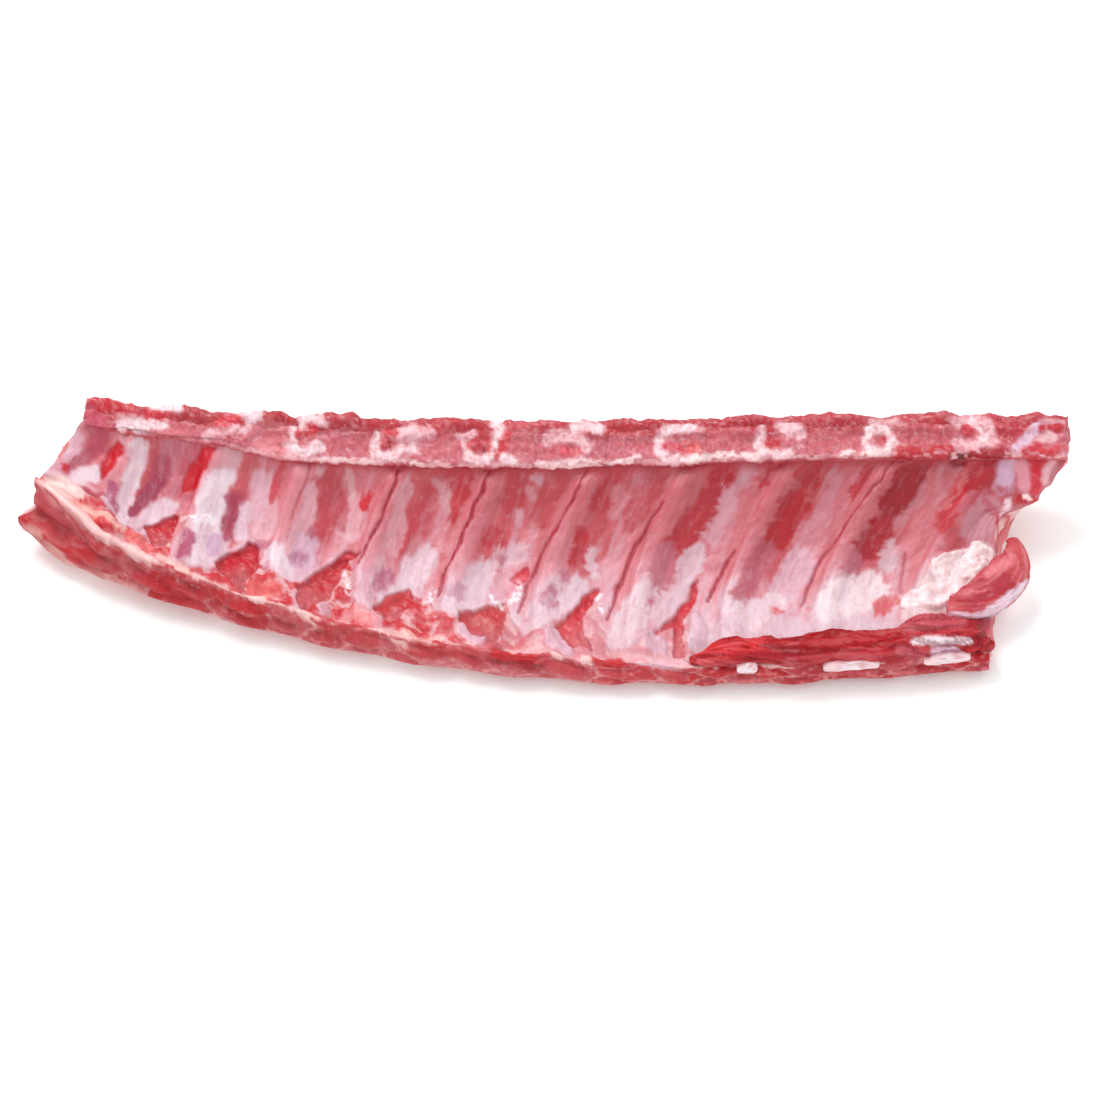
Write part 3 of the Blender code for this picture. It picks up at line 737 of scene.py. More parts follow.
# ---- materials ----
def fill(tree, name, values):
    """Gives each socket of a node its value, or links another node's output to it."""
    for key, value in values.items():
        socket = tree.nodes[name].inputs[key]
        if isinstance(value, bpy.types.NodeSocket):
            tree.links.new(value, socket)
        else:
            socket.default_value = value


COAT_ROUGHNESS = 0.22
WET_LOSS = 0.16                         # how much smoother the moist film is
BUMP_STRENGTH, BUMP_DEPTH = 0.55, 0.0008
SCATTER_DEPTH = 0.0022                  # metres
SCATTER_BY_COLOUR = (1.0, 0.35, 0.25)


def tissue(name, fibre_scale, fibre_depth, grain_scale, grain_depth, roughness, coat, soft,
           shine):
    """Raw tissue: painted colour with fibres and grain, moist, and a little see-through."""
    made = bpy.data.materials.new(name)
    made.use_nodes = True
    tree = made.node_tree

    def node(kind, output, values, **settings):
        """The named output of a new node."""
        new = tree.nodes.new("ShaderNode" + kind)
        for key, value in settings.items():
            setattr(new, key, value)
        fill(tree, new.name, values)
        return new.outputs[output]

    paint = node("Attribute", "Color", {}, attribute_name="paint")
    flow = node("Attribute", "Vector", {}, attribute_name="flow")
    film = node("Attribute", "Fac", {}, attribute_name="film")
    # fibres run along the flow, and grain is the same in every direction
    stretched = node("Mapping", "Vector", {"Vector": flow, "Scale": fibre_scale})
    fibres = node("TexNoise", "Fac", {"Vector": stretched, "Scale": 1.0, "Detail": 6.0,
                                      "Roughness": 0.62, "Distortion": 0.6})
    grain = node("TexNoise", "Fac", {"Vector": flow, "Scale": grain_scale, "Detail": 5.0,
                                     "Roughness": 0.6})
    # colour: the paint, darker and lighter by fibre, with pale flecks in the grain
    dark = node("MapRange", "Result", {"Value": fibres, "From Min": 0.3, "From Max": 0.7,
                                       "To Min": 1.0 + fibre_depth, "To Max": 1.0 - fibre_depth})
    shaded = node("Mix", "Result", {"Factor": 1.0, "A": paint, "B": dark},
                  data_type="RGBA", blend_type="MULTIPLY")
    pale = node("MapRange", "Result", {"Value": grain, "From Min": 0.56, "From Max": 0.74,
                                       "To Max": 3.0 * grain_depth})
    flecked = node("Mix", "Result", {"Factor": pale, "A": shaded, "B": (*linear(FLECK), 1.0)},
                   data_type="RGBA")
    # gloss: uneven with the grain, and smoother where the moist film lies
    gloss = node("MapRange", "Result", {"Value": grain, "From Min": 0.3, "From Max": 0.7,
                                        "To Min": roughness - 0.08, "To Max": roughness + 0.12})
    wet = node("Math", "Value", {0: film, 1: -WET_LOSS, 2: gloss}, operation="MULTIPLY_ADD")
    height = node("Math", "Value", {0: fibres, 1: 0.6, 2: grain}, operation="MULTIPLY_ADD")
    relief = node("Bump", "Normal", {"Strength": BUMP_STRENGTH, "Distance": BUMP_DEPTH,
                                      "Height": height})
    fill(tree, "Principled BSDF", {
        "Base Color": flecked,
        "Roughness": wet,
        "Normal": relief,
        "Subsurface Weight": soft,
        "Subsurface Radius": SCATTER_BY_COLOUR,
        "Subsurface Scale": SCATTER_DEPTH,
        "Coat Weight": coat,
        "Coat Roughness": COAT_ROUGHNESS,
        "Specular IOR Level": shine,
    })
    return made


# scales in cells for each metre, and depths as shares
flesh_look = tissue("flesh", (420.0, 90.0, 220.0), 0.10, 260.0, 0.05, 0.4, 0.1, 0.12, 0.28)
bone_look = tissue("bone", (260.0, 260.0, 260.0), 0.06, 600.0, 0.05, 0.46, 0.08, 0.10, 0.35)
marrow_look = tissue("marrow", (420.0, 420.0, 420.0), 0.06, 800.0, 0.03, 0.46, 0.08, 0.10, 0.3)
gristle_look = tissue("cartilage", (420.0, 420.0, 420.0), 0.06, 800.0, 0.03, 0.4, 0.12, 0.12, 0.35)
muscle_look = tissue("muscle", (90.0, 520.0, 420.0), 0.14, 300.0, 0.03, 0.36, 0.08, 0.12, 0.2)
fat_look = tissue("fat", (220.0, 220.0, 220.0), 0.06, 420.0, 0.06, 0.44, 0.12, 0.2, 0.35)


# ---- the slab of meat ----
STATIONS = 540
WALL_POINTS = 22
INNER_POINTS = 108
BED_POINTS = 6
BACK_POINTS = 32
UNDER_POINTS = 8
# the bed under the spine and the ridge behind it, as (along, out) of the sawn face
BED = ((-0.9, -8.8), (4.8, -12.2), (10.0, -9.0), (9.6, -3.0))
BED_CLIMB = (1.15, 0.5, 0.0, 0.0)       # how far each follows the membrane up, at the left
RIDGE = ((9.8, 0.2), (14.2, 2.3), (17.4, -0.8))
RIDGE_LUMP = (0.0, 1.0, 1.0)            # how much of the ridge's lumps each takes
# the torn ledge of the right end and the corner of the left end, in mm along the rack by height t
LEDGE_T = (0.74, 0.79, 0.815, 0.84, 0.9, 0.95, 1.0)
LEDGE_REACH = (0.0, 2.0, 11.0, 15.0, 12.0, 1.0, 0.0)
CORNER_T = (0.78, 0.9, 0.95, 1.0)
CORNER_PULL = (0.0, 2.0, 4.0, 7.0)
CORNER_START = 1.2                      # the station where that corner starts
# the foot of the wall at the left end, which hangs and juts out
FOOT_DROP, FOOT_DROP_X = 4.5, -214.0
FOOT_JUT, FOOT_JUT_X = 3.2, -207.0
GROOVE_PHASE = 0.147                    # how far left of its rib's station a groove lies
FLOOR_CLEAR = 0.05                      # mm
# relief of the slab, mm; of two numbers the second goes with its noise
RIB_RISE = 3.2
BETWEEN_SAG = 1.3
LOW_SWELL = 1.8
GROOVE_DEPTH = 1.1
SLIT_DEPTH = 0.8
LUMP_RISE = 1.4
FAT_RISE = (1.8, 3.2)
BORDER_DEPTH = (0.9, 2.0)
LOBE_RISE, LOBE_SINK = 2.6, 1.2
BACK_LUMPS = 2.6
# softness of edges in photo pixels
GROOVE_SOFT, SLIT_SOFT, POCKET_SOFT, LUMP_SOFT, FAT_SOFT = 1.7, 1.6, 2.5, 4.0, 3.0


def slab_rings(u, w, t):
    """The slab's closed rings without relief: its wall, inner side, bed, back and underside."""
    near = place_x(u, 0.0)
    foot_drop = FOOT_DROP * bump(near, FOOT_DROP_X, 16.0) * ramp(u, LEFT_END, 0.8)
    foot_out = 0.4 * foot_drop + FOOT_JUT * bump(near, FOOT_JUT_X, 9.0)
    fy, fz, rim = foot_y(u) - foot_out, foot_z(u) - foot_drop, rim_z(u)
    reach = (FOOT_REACH + 1.5) * ramp(u, 0.95, LEFT_END)
    wall = points_at(
        near - reach * ramp(w, 0.46, 0.24) * (0.62 + 0.28 * ramp(w, 0.0, 0.2)),
        fy + (rim_y(u) - fy) * w - 1.6 * (4.0 * w * (1.0 - w)),
        fz + (rim - fz) * w)

    y, z = plain_inner(u, t)
    ledge = np.interp(t, LEDGE_T, LEDGE_REACH) * endness(u) ** 0.5
    corner_share = np.clip((CORNER_START - u) / (CORNER_START - LEFT_END), 0.0, 1.0)
    corner = np.interp(t, CORNER_T, CORNER_PULL) * corner_share
    inner = points_at(place_x(u, t) + ledge + corner, y, z)

    far, floor = spine_place_x(u), underside(u)
    back_y, back_z = top(u)
    lump = 2.2 * np.sin(np.pi * u) ** 2 - 1.6 * ramp(u, 3.4, 4.4)
    lump = lump - 3.0 * bump(u, 4.25, 0.3) + 1.2 * bump(u, 3.2, 0.4)
    swell = 0.8 * np.sin(7.0 * u)
    bed = [points_at(far, *spine_point(u, along + share * tuck(u), out))
           for (along, out), share in zip(BED, BED_CLIMB)]
    back = [points_at(far, *spine_point(u, along, out + share * lump))
            for (along, out), share in zip(RIDGE, RIDGE_LUMP)]
    for shift, y, z in ((4.0, back_y + 4.0, back_z - 13.0),
                        (12.0, back_y + 2.5 + swell, back_z - 27.0),
                        (24.0, back_y - 3.0 - swell, floor + 11.0),
                        (29.0, back_y - 14.0, floor + 3.0)):
        back.append(points_at(far - shift * endness(u), y, z))
    width = lip(u)[0] - rim_y(u)
    under = [back[-1]]
    for at, z in ((0.82, 0.85 * floor), (0.5, 0.5 * floor), (0.2, 0.9 * floor),
                  (0.06, floor + 0.45 * (fz - floor))):
        under.append(points_at(place_x(u, at), rim_y(u) + width * at, z))
    under.append(wall[:, :1])
    bed = through(np.concatenate(bed, axis=1), np.linspace(0.0, 3.0, BED_POINTS))
    back = through(np.concatenate(back, axis=1), np.linspace(0.0, 6.0, BACK_POINTS))
    under = through(np.concatenate(under, axis=1), np.linspace(0.0, 5.0, UNDER_POINTS + 2)[1:-1])
    return np.concatenate((wall, inner, bed, back, under), axis=1)


def make_meat():
    """The slab: its rings, its relief, its paint and the caps at both ends."""
    u = np.linspace(LEFT_END, RIGHT_END, STATIONS)[:, None]
    w = np.linspace(0.0, 1.0, WALL_POINTS, endpoint=False)[None, :]
    t = np.linspace(0.0, 1.0, INNER_POINTS)[None, :]
    points = slab_rings(u, w, t)
    count = points.shape[1]
    starts = np.cumsum([0, WALL_POINTS, INNER_POINTS, BED_POINTS, BACK_POINTS])
    index = np.arange(count)[None, :]
    back_share = np.clip((index - starts[3]) / BACK_POINTS, 0.0, 1.0)
    index = np.broadcast_to(index, (STATIONS, count))
    on_wall = index < starts[1]
    on_inner = (index >= starts[1]) & (index < starts[2])
    on_back = (index >= starts[3]) & (index < starts[4])
    hidden = index >= starts[2]

    t_in = np.zeros((STATIONS, count))
    t_in[:, starts[1]:starts[2]] = t
    ring_w = np.ones((STATIONS, count))
    ring_w[:, :WALL_POINTS] = w
    uu = np.broadcast_to(u, (STATIONS, count))
    arc = arc_of(points)
    across = uu * RIB_PITCH
    px, py = cast(points)

    # fibres run up and down the rack, and pull the edges of the painted shapes along them
    feather = clouds(across / 2.0, arc / 10.0, 85, 3)
    drift = 5.0 * clouds(px / 17.0, py / 17.0, 11)
    teeth = 0.7 * clouds(across / 9.0, arc / 1.8, 27, 2) * ramp(uu, 4.0, 6.5)
    calm = 0.4 + 0.6 * ramp(uu, 2.5, 4.5)
    wx = px + drift - 2.0 * calm * feather + 2.5 * clouds(px / 6.0, py / 6.0, 15) + 9.0 * teeth
    wy = py + 4.0 * clouds(px / 17.0, py / 17.0, 21) + 7.0 * calm * feather
    wy = wy + 2.0 * clouds(px / 6.0, py / 6.0, 25)
    nx, ny = frayed(px, py, (3.0, 3.0), (9.0, 9.0), (31, 35))
    kx, ky = frayed(px, py, (7.0, 7.0), (15.0, 15.0), (37, 39), 2)
    gx = px + 3.0 * clouds(px / 13.0, py / 13.0, 53, 2)
    n_small = clouds(across / 4.0, arc / 12.0, 81)
    n_broad = clouds(across / 14.0, arc / 18.0, 91)

    # the near border, under the membrane's scalloped edge
    edge_y = np.interp(nx, *zip(*MEMBRANE_EDGE))
    border = ramp(ny - edge_y, -0.6, 2.2) * on_inner
    mottle = clouds(px / 13.0 + py / 40.0, py / 6.0 - px / 26.0, 151)

    # what the photograph shows at single places
    grooves = strongest(strength * stroke(gx, py, line, GROOVE_SOFT) for line, strength in GROOVES)
    slits = strongest(patch(nx, ny, corners, SLIT_SOFT) for corners in SLITS)
    lumps = strongest(stroke(nx, ny, line, LUMP_SOFT) for line in LUMPS)
    fat_zone = stroke(nx, ny, FAT_LINE, FAT_SOFT)
    fat_folds = clouds(px / 11.0, py / 9.0, 157)

    # relief of the inner side, along its normals; phase is 0 just right of a rib's groove
    phase = (uu + GROOVE_PHASE) % 1.0
    rib_fade = ramp(t_in, 0.02, 0.16) * (1.0 - ramp(t_in, 0.92, 1.0)) * ramp(uu, 0.85, 0.95)
    rib_fade = rib_fade * (1.0 - ramp(uu, 10.3, 10.42))
    mm_left = phase * RIB_PITCH + 0.8 * n_broad
    ridge = ramp(mm_left, -0.2, 3.4) * (1.0 - ramp(mm_left, 6.5, 16.0))
    trough = bump(phase, 0.62, 0.2) * ramp(t_in, 0.35, 0.6)
    relief = (RIB_RISE * ridge - BETWEEN_SAG * trough) * rib_fade
    relief = relief + LOW_SWELL * bump(t_in, 0.26, 0.13) * bump(phase, 0.5, 0.26)
    relief = relief - pocket(uu, t_in) - GROOVE_DEPTH * grooves - SLIT_DEPTH * slits
    for corners, colour, depth in POCKETS:
        relief = relief - depth * patch(kx, ky, corners, POCKET_SOFT)
    relief = relief + LUMP_RISE * lumps + fat_zone * (FAT_RISE[0] + FAT_RISE[1] * fat_folds)
    relief = relief - border * (BORDER_DEPTH[0] - BORDER_DEPTH[1] * mottle)
    streaks = clouds(across / 2.6, arc / 18.0, 41, 3)
    small = clouds(across / 6.0, arc / 8.0, 45)
    edge_fade = ramp(t_in, 0.0, 0.03) * (1.0 - ramp(t_in, 0.985, 1.0))
    relief = np.where(on_inner, (relief + 0.3 * streaks + 0.7 * small) * edge_fade, 0.0)

    # relief of the wall, in lobes, and of the ridge and the back
    wall_gap, wall_tone = lobes((points[..., 0] + 0.9 * points[..., 2]) / 21.0 + 9.0,
                                points[..., 2] / 7.5 + 0.3 * clouds(across / 20.0, 0.0, 61), 153)
    wall_fade = np.sin(np.pi * np.clip(ring_w, 0.0, 1.0)) ** 0.5
    wall_bumps = LOBE_RISE * ramp(wall_gap, 0.0, 0.55) - LOBE_SINK
    wall_bumps = wall_bumps + 1.2 * clouds(across / 5.0, arc / 3.0, 55)
    relief = np.where(on_wall, wall_fade * wall_bumps, relief)
    back_fade = np.sin(np.pi * np.clip(back_share + 0.06, 0.0, 1.0)) ** 0.5
    back_bumps = BACK_LUMPS * clouds(across / 11.0, arc / 9.0, 61)
    back_bumps = back_bumps + 1.0 * clouds(across / 3.0, arc / 3.0, 65)
    relief = np.where(on_back, back_fade * back_bumps, relief)

    # a soft roll along the rim, thick at the left, and another along the foot
    normal = normals_of(points, True)
    outward = np.sign(np.sum(normal[:, starts[1] + INNER_POINTS // 2, 2]))
    rim_noise = clouds(across / 8.0, 0.0 * arc, 71)
    rim_roll = bump(t_in, 0.012, 0.028) * on_inner + bump(ring_w, 1.0, 0.16) * on_wall
    rim_size = 0.5 + 1.2 * ramp(uu, 3.0, 1.0) + 1.6 * rim_noise
    foot_roll = bump(ring_w, 0.04, 0.1) * on_wall
    relief = relief + rim_size * rim_roll + 0.7 * foot_roll
    points = points + normal * (outward * relief)[..., None]
    points[..., 2] = np.maximum(points[..., 2], FLOOR_CLEAR)

    # paint of the inner side: red muscle between the ribs, pale film left of the next rib, the
    # ribs under their membrane, and pale fans at the ribs' near ends
    ph = phase + 0.04 * n_small + 0.05 * n_broad + 0.03 * feather
    tt = t_in + 0.06 * n_small + 0.08 * feather
    rightness = ramp(uu, 2.5, 7.5)
    upper = ramp(tt, 0.4, 0.85)
    muscle_band = ramp(ph, 0.2, 0.4) * (1.0 - ramp(ph, 0.6, 0.8)) * ramp(tt, 0.35, 0.65)
    film_band = ramp(ph + 0.16 * feather, 0.5, 0.66) * (1.0 - ramp(ph, 0.86, 0.98))
    film_band = film_band * (0.5 + 0.5 * ramp(feather, -0.1, 0.15)) * (1.0 - 0.5 * upper)
    rib = ramp(ph, 0.0, 0.06) * (1.0 - ramp(ph, 0.2, 0.38))
    fan_top = 0.42 + 0.1 * np.cos(2.0 * np.pi * (ph - 0.25)) + 0.12 * feather
    low = 1.0 - ramp(tt, fan_top - 0.14, fan_top + 0.14)
    blotch = ramp(clouds(across / 7.0, arc / 9.0, 95), 0.1, 0.34) * bump(t_in, 0.3, 0.14)
    before_groove = ramp(ph, 0.86, 0.96) * ramp(tt, 0.22, 0.36)
    paint = layered(
        filled(points, (220, 140, 150)),
        ((198, 96, 104), 0.85 * muscle_band),
        ((204, 106, 112), 0.7 * upper * ramp(ph, 0.1, 0.3)),
        (LAVENDER, 0.8 * film_band),
        (RIB_PINK, 0.8 * rib),
        ((210, 118, 126), 0.7 * rib * ramp(tt, 0.55, 0.85) * ramp(uu, 2.5, 4.0)),
        (LAVENDER, 0.75 * low),
        (FILM_WHITE, 0.9 * low * ramp(n_broad + 0.3 * rightness, 0.0, 0.4)),
        ((190, 130, 156), 0.4 * blotch * (1.0 - rightness) * low),
        ((220, 136, 144), 0.6 * before_groove))
    paint = streaked(paint, wx, wy, SHADES, 0.9)
    # painted sheen: pale patches laid into the colour of the fans
    painted_sheen = ramp(clouds(px / 9.0, py / 12.0, 49), 0.08, 0.3)
    paint = layered(
        paint,
        (FILM_WHITE, 0.1 * ramp(feather, 0.08, 0.3)),
        ((190, 66, 80), 0.1 * ramp(-feather, 0.1, 0.3)),
        ((236, 224, 236), 0.4 * painted_sheen * low),
        ((184, 52, 60), 0.2 * rightness * upper))
    paint = paint * (1.0 - 0.08 * rightness * upper)[..., None]
    thread = 1.0 - ramp(np.abs(clouds(across / 9.0, arc / 26.0, 57, 3)), 0.0, 0.025)
    # the bright margin of the membrane, and the salmon border below it
    margin = bump(ny - edge_y, -3.0, 2.6) * (1.0 - border) * on_inner
    paint = layered(paint, ((196, 84, 104), 0.3 * thread), ((238, 214, 224), 0.6 * margin))
    salmon = layered(
        filled(points, (220, 118, 124)),
        ((204, 58, 66), 0.9 * ramp(mottle, 0.04, 0.2)),
        ((242, 202, 204), 0.9 * ramp(-mottle, 0.06, 0.18)),
        ((238, 196, 206), 0.6 * ramp(uu, 4.5, 6.5)))
    paint = paint * (1.0 - border[..., None]) + salmon * border[..., None]
    for line in LUMPS:
        paint = over(paint, (230, 200, 216), 0.85 * stroke(nx, ny, line, LUMP_SOFT))
    for corners in SLITS:
        slit_edge = bump(patch(nx, ny, corners, 3.0), 0.5, 0.3)
        paint = layered(paint, (BLOOD, patch(nx, ny, corners, 1.4)),
                        ((160, 28, 44), 0.4 * slit_edge))
    for corners, colour, depth in POCKETS:
        top_y, low_y = min(c[1] for c in corners), max(c[1] for c in corners)
        inside = patch(kx, ky, corners, POCKET_SOFT)
        torn_y = py + 14.0 * clouds(px / 9.0, py / 9.0, 43)
        fade = ramp(torn_y, top_y + 0.3 * (low_y - top_y), low_y)
        paint = layered(
            paint,
            (colour, 0.95 * inside),
            ((200, 120, 126), 0.75 * inside * fade),
            ((150, 26, 40), 0.5 * bump(inside, 0.5, 0.3)))
    # painted highlights: the glints, broken up by noise, are laid into the colour in near white below
    # and also make the film smoother
    glints = strongest(stroke(kx, ky, line, LUMP_SOFT) for line in GLINTS)
    glints = glints * ramp(clouds(px / 3.0, py / 3.0, 47), -0.35, 0.1)
    under_lip = ramp(t_in, 0.955, 0.985) * ramp(uu, 1.8, 3.0)
    fold = 1.0 - ramp(np.abs(fat_folds), 0.0, 0.05)
    paint = layered(
        paint,
        ((156, 30, 52), 0.95 * grooves),
        ((250, 244, 250), 0.75 * glints),
        ((182, 62, 70), 0.7 * under_lip),
        ((246, 226, 229), 0.97 * fat_zone),
        ((228, 150, 158), 0.35 * fat_zone * fold))
    paint = streaked(paint, nx, ny, END_SHADES)

    # paint of the cut wall: red lobes with pale seams, a pale foot and a pale rim
    grain = clouds(across / 3.0, arc / 1.6, 111)
    seam = 1.0 - ramp(wall_gap + 0.2 * grain, 0.0, 0.11)
    foot = 1.0 - ramp(ring_w + 0.1 * n_small, 0.0, 0.04)
    rim_width = 0.02 + 0.05 * ramp(uu, 1.8, 0.9) + 0.2 * rim_noise
    rim_pale = ramp(ring_w + 0.14 * n_small, 0.98 - rim_width, 1.02 - rim_width)
    wall_paint = layered(
        filled(points, (188, 60, 68)),
        ((194, 84, 92), ramp(wall_tone, 0.6, 0.8)),
        ((192, 38, 48), ramp(-wall_tone, -0.3, -0.15)),
        ((226, 140, 142), 0.5 * ramp(grain, 0.1, 0.3)),
        ((166, 40, 50), 0.5 * ramp(-grain, 0.1, 0.3)),
        ((224, 152, 160), 0.3 * bump(uu, 5.4, 1.5)),
        ((236, 164, 164), 0.75 * seam),
        ((242, 192, 188), 0.85 * foot * (1.0 - 0.8 * ramp(uu, 2.6, 4.0))),
        (RIM_PALE, 0.85 * rim_pale))
    paint = np.where(on_wall[..., None], wall_paint, paint)
    rim_line = 1.0 - ramp(t_in + 0.02 * n_small - 0.3 * rim_width + 0.02, 0.004, 0.024)
    paint = over(paint, RIM_PALE, 0.8 * (rim_line * on_inner))
    near_wall = (on_wall | (t_in * on_inner < 0.14)) & ~hidden
    paint = streaked(paint, nx, ny, WALL_SHADES, mask=near_wall)
    at_left = on_wall * ramp(uu, 2.6, 1.2) * ramp(0.3 + n_small, 0.0, 0.4)
    paint = over(paint, (182, 44, 54), 0.45 * at_left)
    paint = paint * (1.0 - (0.2 - 0.08 * ramp(uu, 2.5, 5.0)) * on_wall)[..., None]

    # the bed, the ridge, the back and the underside: meat with veins and patches of fat
    tone = clouds(across / 12.0, arc / 10.0, 131)
    veins = 1.0 - ramp(np.abs(clouds(across / 16.0, arc / 7.0, 135, 3)), 0.01, 0.05)
    patches = ramp(clouds(across / 24.0, arc / 12.0, 141, 3), 0.06, 0.26)
    rough_paint = layered(
        filled(points, (192, 64, 72)),
        ((210, 108, 114), 0.8 * ramp(tone, 0.0, 0.25)),
        ((170, 44, 54), 0.6 * ramp(-tone, 0.1, 0.3)),
        ((232, 176, 182), 0.4 * veins),
        ((238, 204, 204), 0.65 * patches))
    paint = np.where(hidden[..., None], rough_paint, paint)
    # the top of the ridge goes on from the sawn face
    ridge_top = np.where(on_back, 1.0 - ramp(back_share, 0.36, 0.5), 0.0)
    ridge_along = RIDGE[0][0] + arc - arc[:, starts[3]:starts[3] + 1]
    ridge_paint = spine_paint(px, py, points[..., 0], ridge_along, np.zeros(px.shape))
    paint = paint * (1.0 - ridge_top[..., None]) + ridge_paint * ridge_top[..., None]

    film = np.maximum(np.where(on_inner, 0.45 + 0.55 * low, 0.2), glints)
    flow = np.stack((across, arc, 0.0 * arc), axis=-1) * MM

    # the two end caps
    flat = points.reshape(-1, 3)
    faces = [grid_faces(STATIONS, count)]
    more = np.zeros((0, 3))
    for ring_index in (0, STATIONS - 1):
        base = len(flat) + len(more)
        cap, corners = end_cap(points[ring_index], ring_index * count, base, ring_index == 0)
        more = np.concatenate((more, cap))
        faces.append(corners)
    end_noise = clouds(more[:, 1] / 7.0, more[:, 2] / 5.0, 151)
    end_grain = clouds(more[:, 1] / 2.0, more[:, 2] / 2.0, 155)
    end_paint = layered(
        filled(more, (196, 58, 66)),
        ((216, 116, 120), 0.8 * ramp(end_noise, 0.0, 0.2)),
        ((242, 204, 204), 0.8 * ramp(-end_noise, 0.14, 0.2)),
        ((160, 36, 46), 0.5 * ramp(end_grain, 0.14, 0.3)))
    layers = {
        "paint": np.concatenate((paint.reshape(-1, 3), end_paint)),
        "film": np.concatenate((film.reshape(-1), np.full(len(more), 0.2))),
        "flow": np.concatenate((flow.reshape(-1, 3), more[:, [1, 2, 0]] * MM)),
    }
    make_piece("slab", np.concatenate((flat, more)), faces, flesh_look, layers, ["meat"])


CAP_SPACING = 1.6       # mm
CAP_MARGIN = 0.9        # mm


def end_cap(ring, start, base, first):
    """The cut face at one end: triangles between the ring's points and a fine set inside it."""
    edge = ring[:, 1:]
    low, high = edge.min(axis=0), edge.max(axis=0)
    gy, gz = np.meshgrid(np.arange(low[0], high[0], CAP_SPACING),
                         np.arange(low[1], high[1], CAP_SPACING))
    spots = np.stack((gy.ravel(), gz.ravel()), axis=1)
    spots = spots + 0.35 * np.random.RandomState(7).uniform(-1.0, 1.0, spots.shape)
    away = np.linalg.norm(spots[:, None, :] - edge[None, :, :], axis=2)
    kept = (away.min(axis=1) > CAP_MARGIN) & within(spots[:, 0], spots[:, 1], edge)
    spots, away = spots[kept], away[kept]
    count = len(ring)
    edges = [(k, (k + 1) % count) for k in range(count)]
    every = [Vector(spot) for spot in edge.tolist() + spots.tolist()]
    found = delaunay_2d_cdt(every, edges, [], 1, 1e-7)
    new_faces, origins = found[2], found[3]
    index_of = [origin[0] if origin else -1 for origin in origins]
    corners = np.array([[index_of[k] for k in face] for face in new_faces if len(face) == 3])
    corners = corners[(corners >= 0).all(axis=1)]
    a, b, c = (np.array([every[k] for k in corners[:, n]]) for n in range(3))
    turn = (b[:, 0] - a[:, 0]) * (c[:, 1] - a[:, 1]) - (b[:, 1] - a[:, 1]) * (c[:, 0] - a[:, 0])
    corners = np.where((turn < 0)[:, None], corners[:, ::-1], corners)
    after = np.roll(edge, -1, axis=0)
    signed = np.sum(edge[:, 0] * after[:, 1] - after[:, 0] * edge[:, 1])
    if (signed > 0) == first:
        corners = corners[:, ::-1]
    # the face bulges a little beyond the ring, more towards its middle
    weight = 1.0 / away ** 3
    x = (weight * ring[None, :, 0]).sum(axis=1) / weight.sum(axis=1)
    side = -1.0 if first else 1.0
    rough = 1.6 * clouds(spots[:, 0] / 6.0, spots[:, 1] / 5.0, 161) + 0.8
    x = x + side * rough * ramp(away.min(axis=1), 0.0, 5.0)
    mapped = np.where(corners < count, corners + start, corners - count + base)
    return np.stack((x, spots[:, 0], spots[:, 1]), axis=1), mapped


# ---- pieces with rings round them ----
def closed_through(controls, shares):
    """Smooth loops through rings of control points, at shares counted in points."""
    count = controls.shape[1]
    padded = np.concatenate((controls[:, -2:], controls, controls[:, :3]), axis=1)
    return through(padded, np.asarray(shares, dtype=float) % count + 2.0)


def with_ends(points, bulge):
    """Rings with a rounded end added before the first and after the last."""
    def end(ring, outward):
        """Ever smaller copies of a ring, from it outward."""
        middle = ring.mean(axis=0)
        outward = outward / np.linalg.norm(outward)
        return [middle + (ring - middle) * f + outward * bulge * math.sqrt(1.0 - f * f)
                for f in (0.97, 0.85, 0.65, 0.42, 0.2)]
    first = points[0].mean(axis=0) - points[1].mean(axis=0)
    last = points[-1].mean(axis=0) - points[-2].mean(axis=0)
    before = np.stack(end(points[0], first)[::-1])
    return np.concatenate((before, points, np.stack(end(points[-1], last))))


def ring_piece(node, points, paint, film, flow, look):
    """A piece from closed rings, with a point in the middle of each end, in place of a CAD node."""
    rings, count = points.shape[:2]
    faces = [grid_faces(rings, count), fan_cap(0, rings * count, count, True),
             fan_cap((rings - 1) * count, rings * count + 1, count, False)]

    def gather(values):
        """Every ring's values, and their mean over the first ring and over the last."""
        ends = np.stack((values[0].mean(axis=0), values[-1].mean(axis=0)))
        return np.concatenate((values.reshape((-1,) + values.shape[2:]), ends))

    film = np.broadcast_to(film, (rings, count))
    flow = np.stack(flow, axis=-1) * MM
    layers = {"paint": gather(paint), "film": gather(film), "flow": gather(flow)}
    make_piece("look_" + node, gather(points), faces, look, layers, [node])


def arc_of(points):
    """Length along each ring to each of its points."""
    steps = np.linalg.norm(np.diff(points, axis=1), axis=2)
    zero = np.zeros((points.shape[0], 1))
    return np.concatenate((zero, np.cumsum(steps, axis=1)), axis=1)


def raised(rings, relief):
    """Closed rings, moved outward along their normals by relief."""
    normal = normals_of(rings, True)
    middle = rings.mean(axis=1, keepdims=True)
    sign = np.sign(np.sum(normal * (rings - middle)))
    return rings + normal * sign * relief[..., None]


# ---- the sawn spine ----
# a vertebra's outline as (along, out) of the sawn face
VERTEBRA = (
    (-3.2, -4.2), (-3.6, -1.0), (-1.4, 0.8), (3.5, 0.3), (8.5, 0.8), (11.6, 0.0), (12.3, -3.0),
    (11.4, -11.1), (5.0, -12.6), (-0.4, -8.2),
)
# places round it, close together on the face that shows
FACE_SHARES = np.concatenate((np.linspace(0.0, 6.0, 44, endpoint=False),
                              np.linspace(6.0, 10.0, 10, endpoint=False)))
VERTEBRA_STEP = 0.55    # mm from one ring of points to the next
JOINT_OVERLAP = 0.05    # stations
END_GAP = 0.02          # stations
VERTEBRA_BULGE, DISC_BULGE = 0.8, 0.05      # mm, of the rounded ends
VERTEBRA_WAIST, DISC_SWELL = 0.9, 0.6       # mm
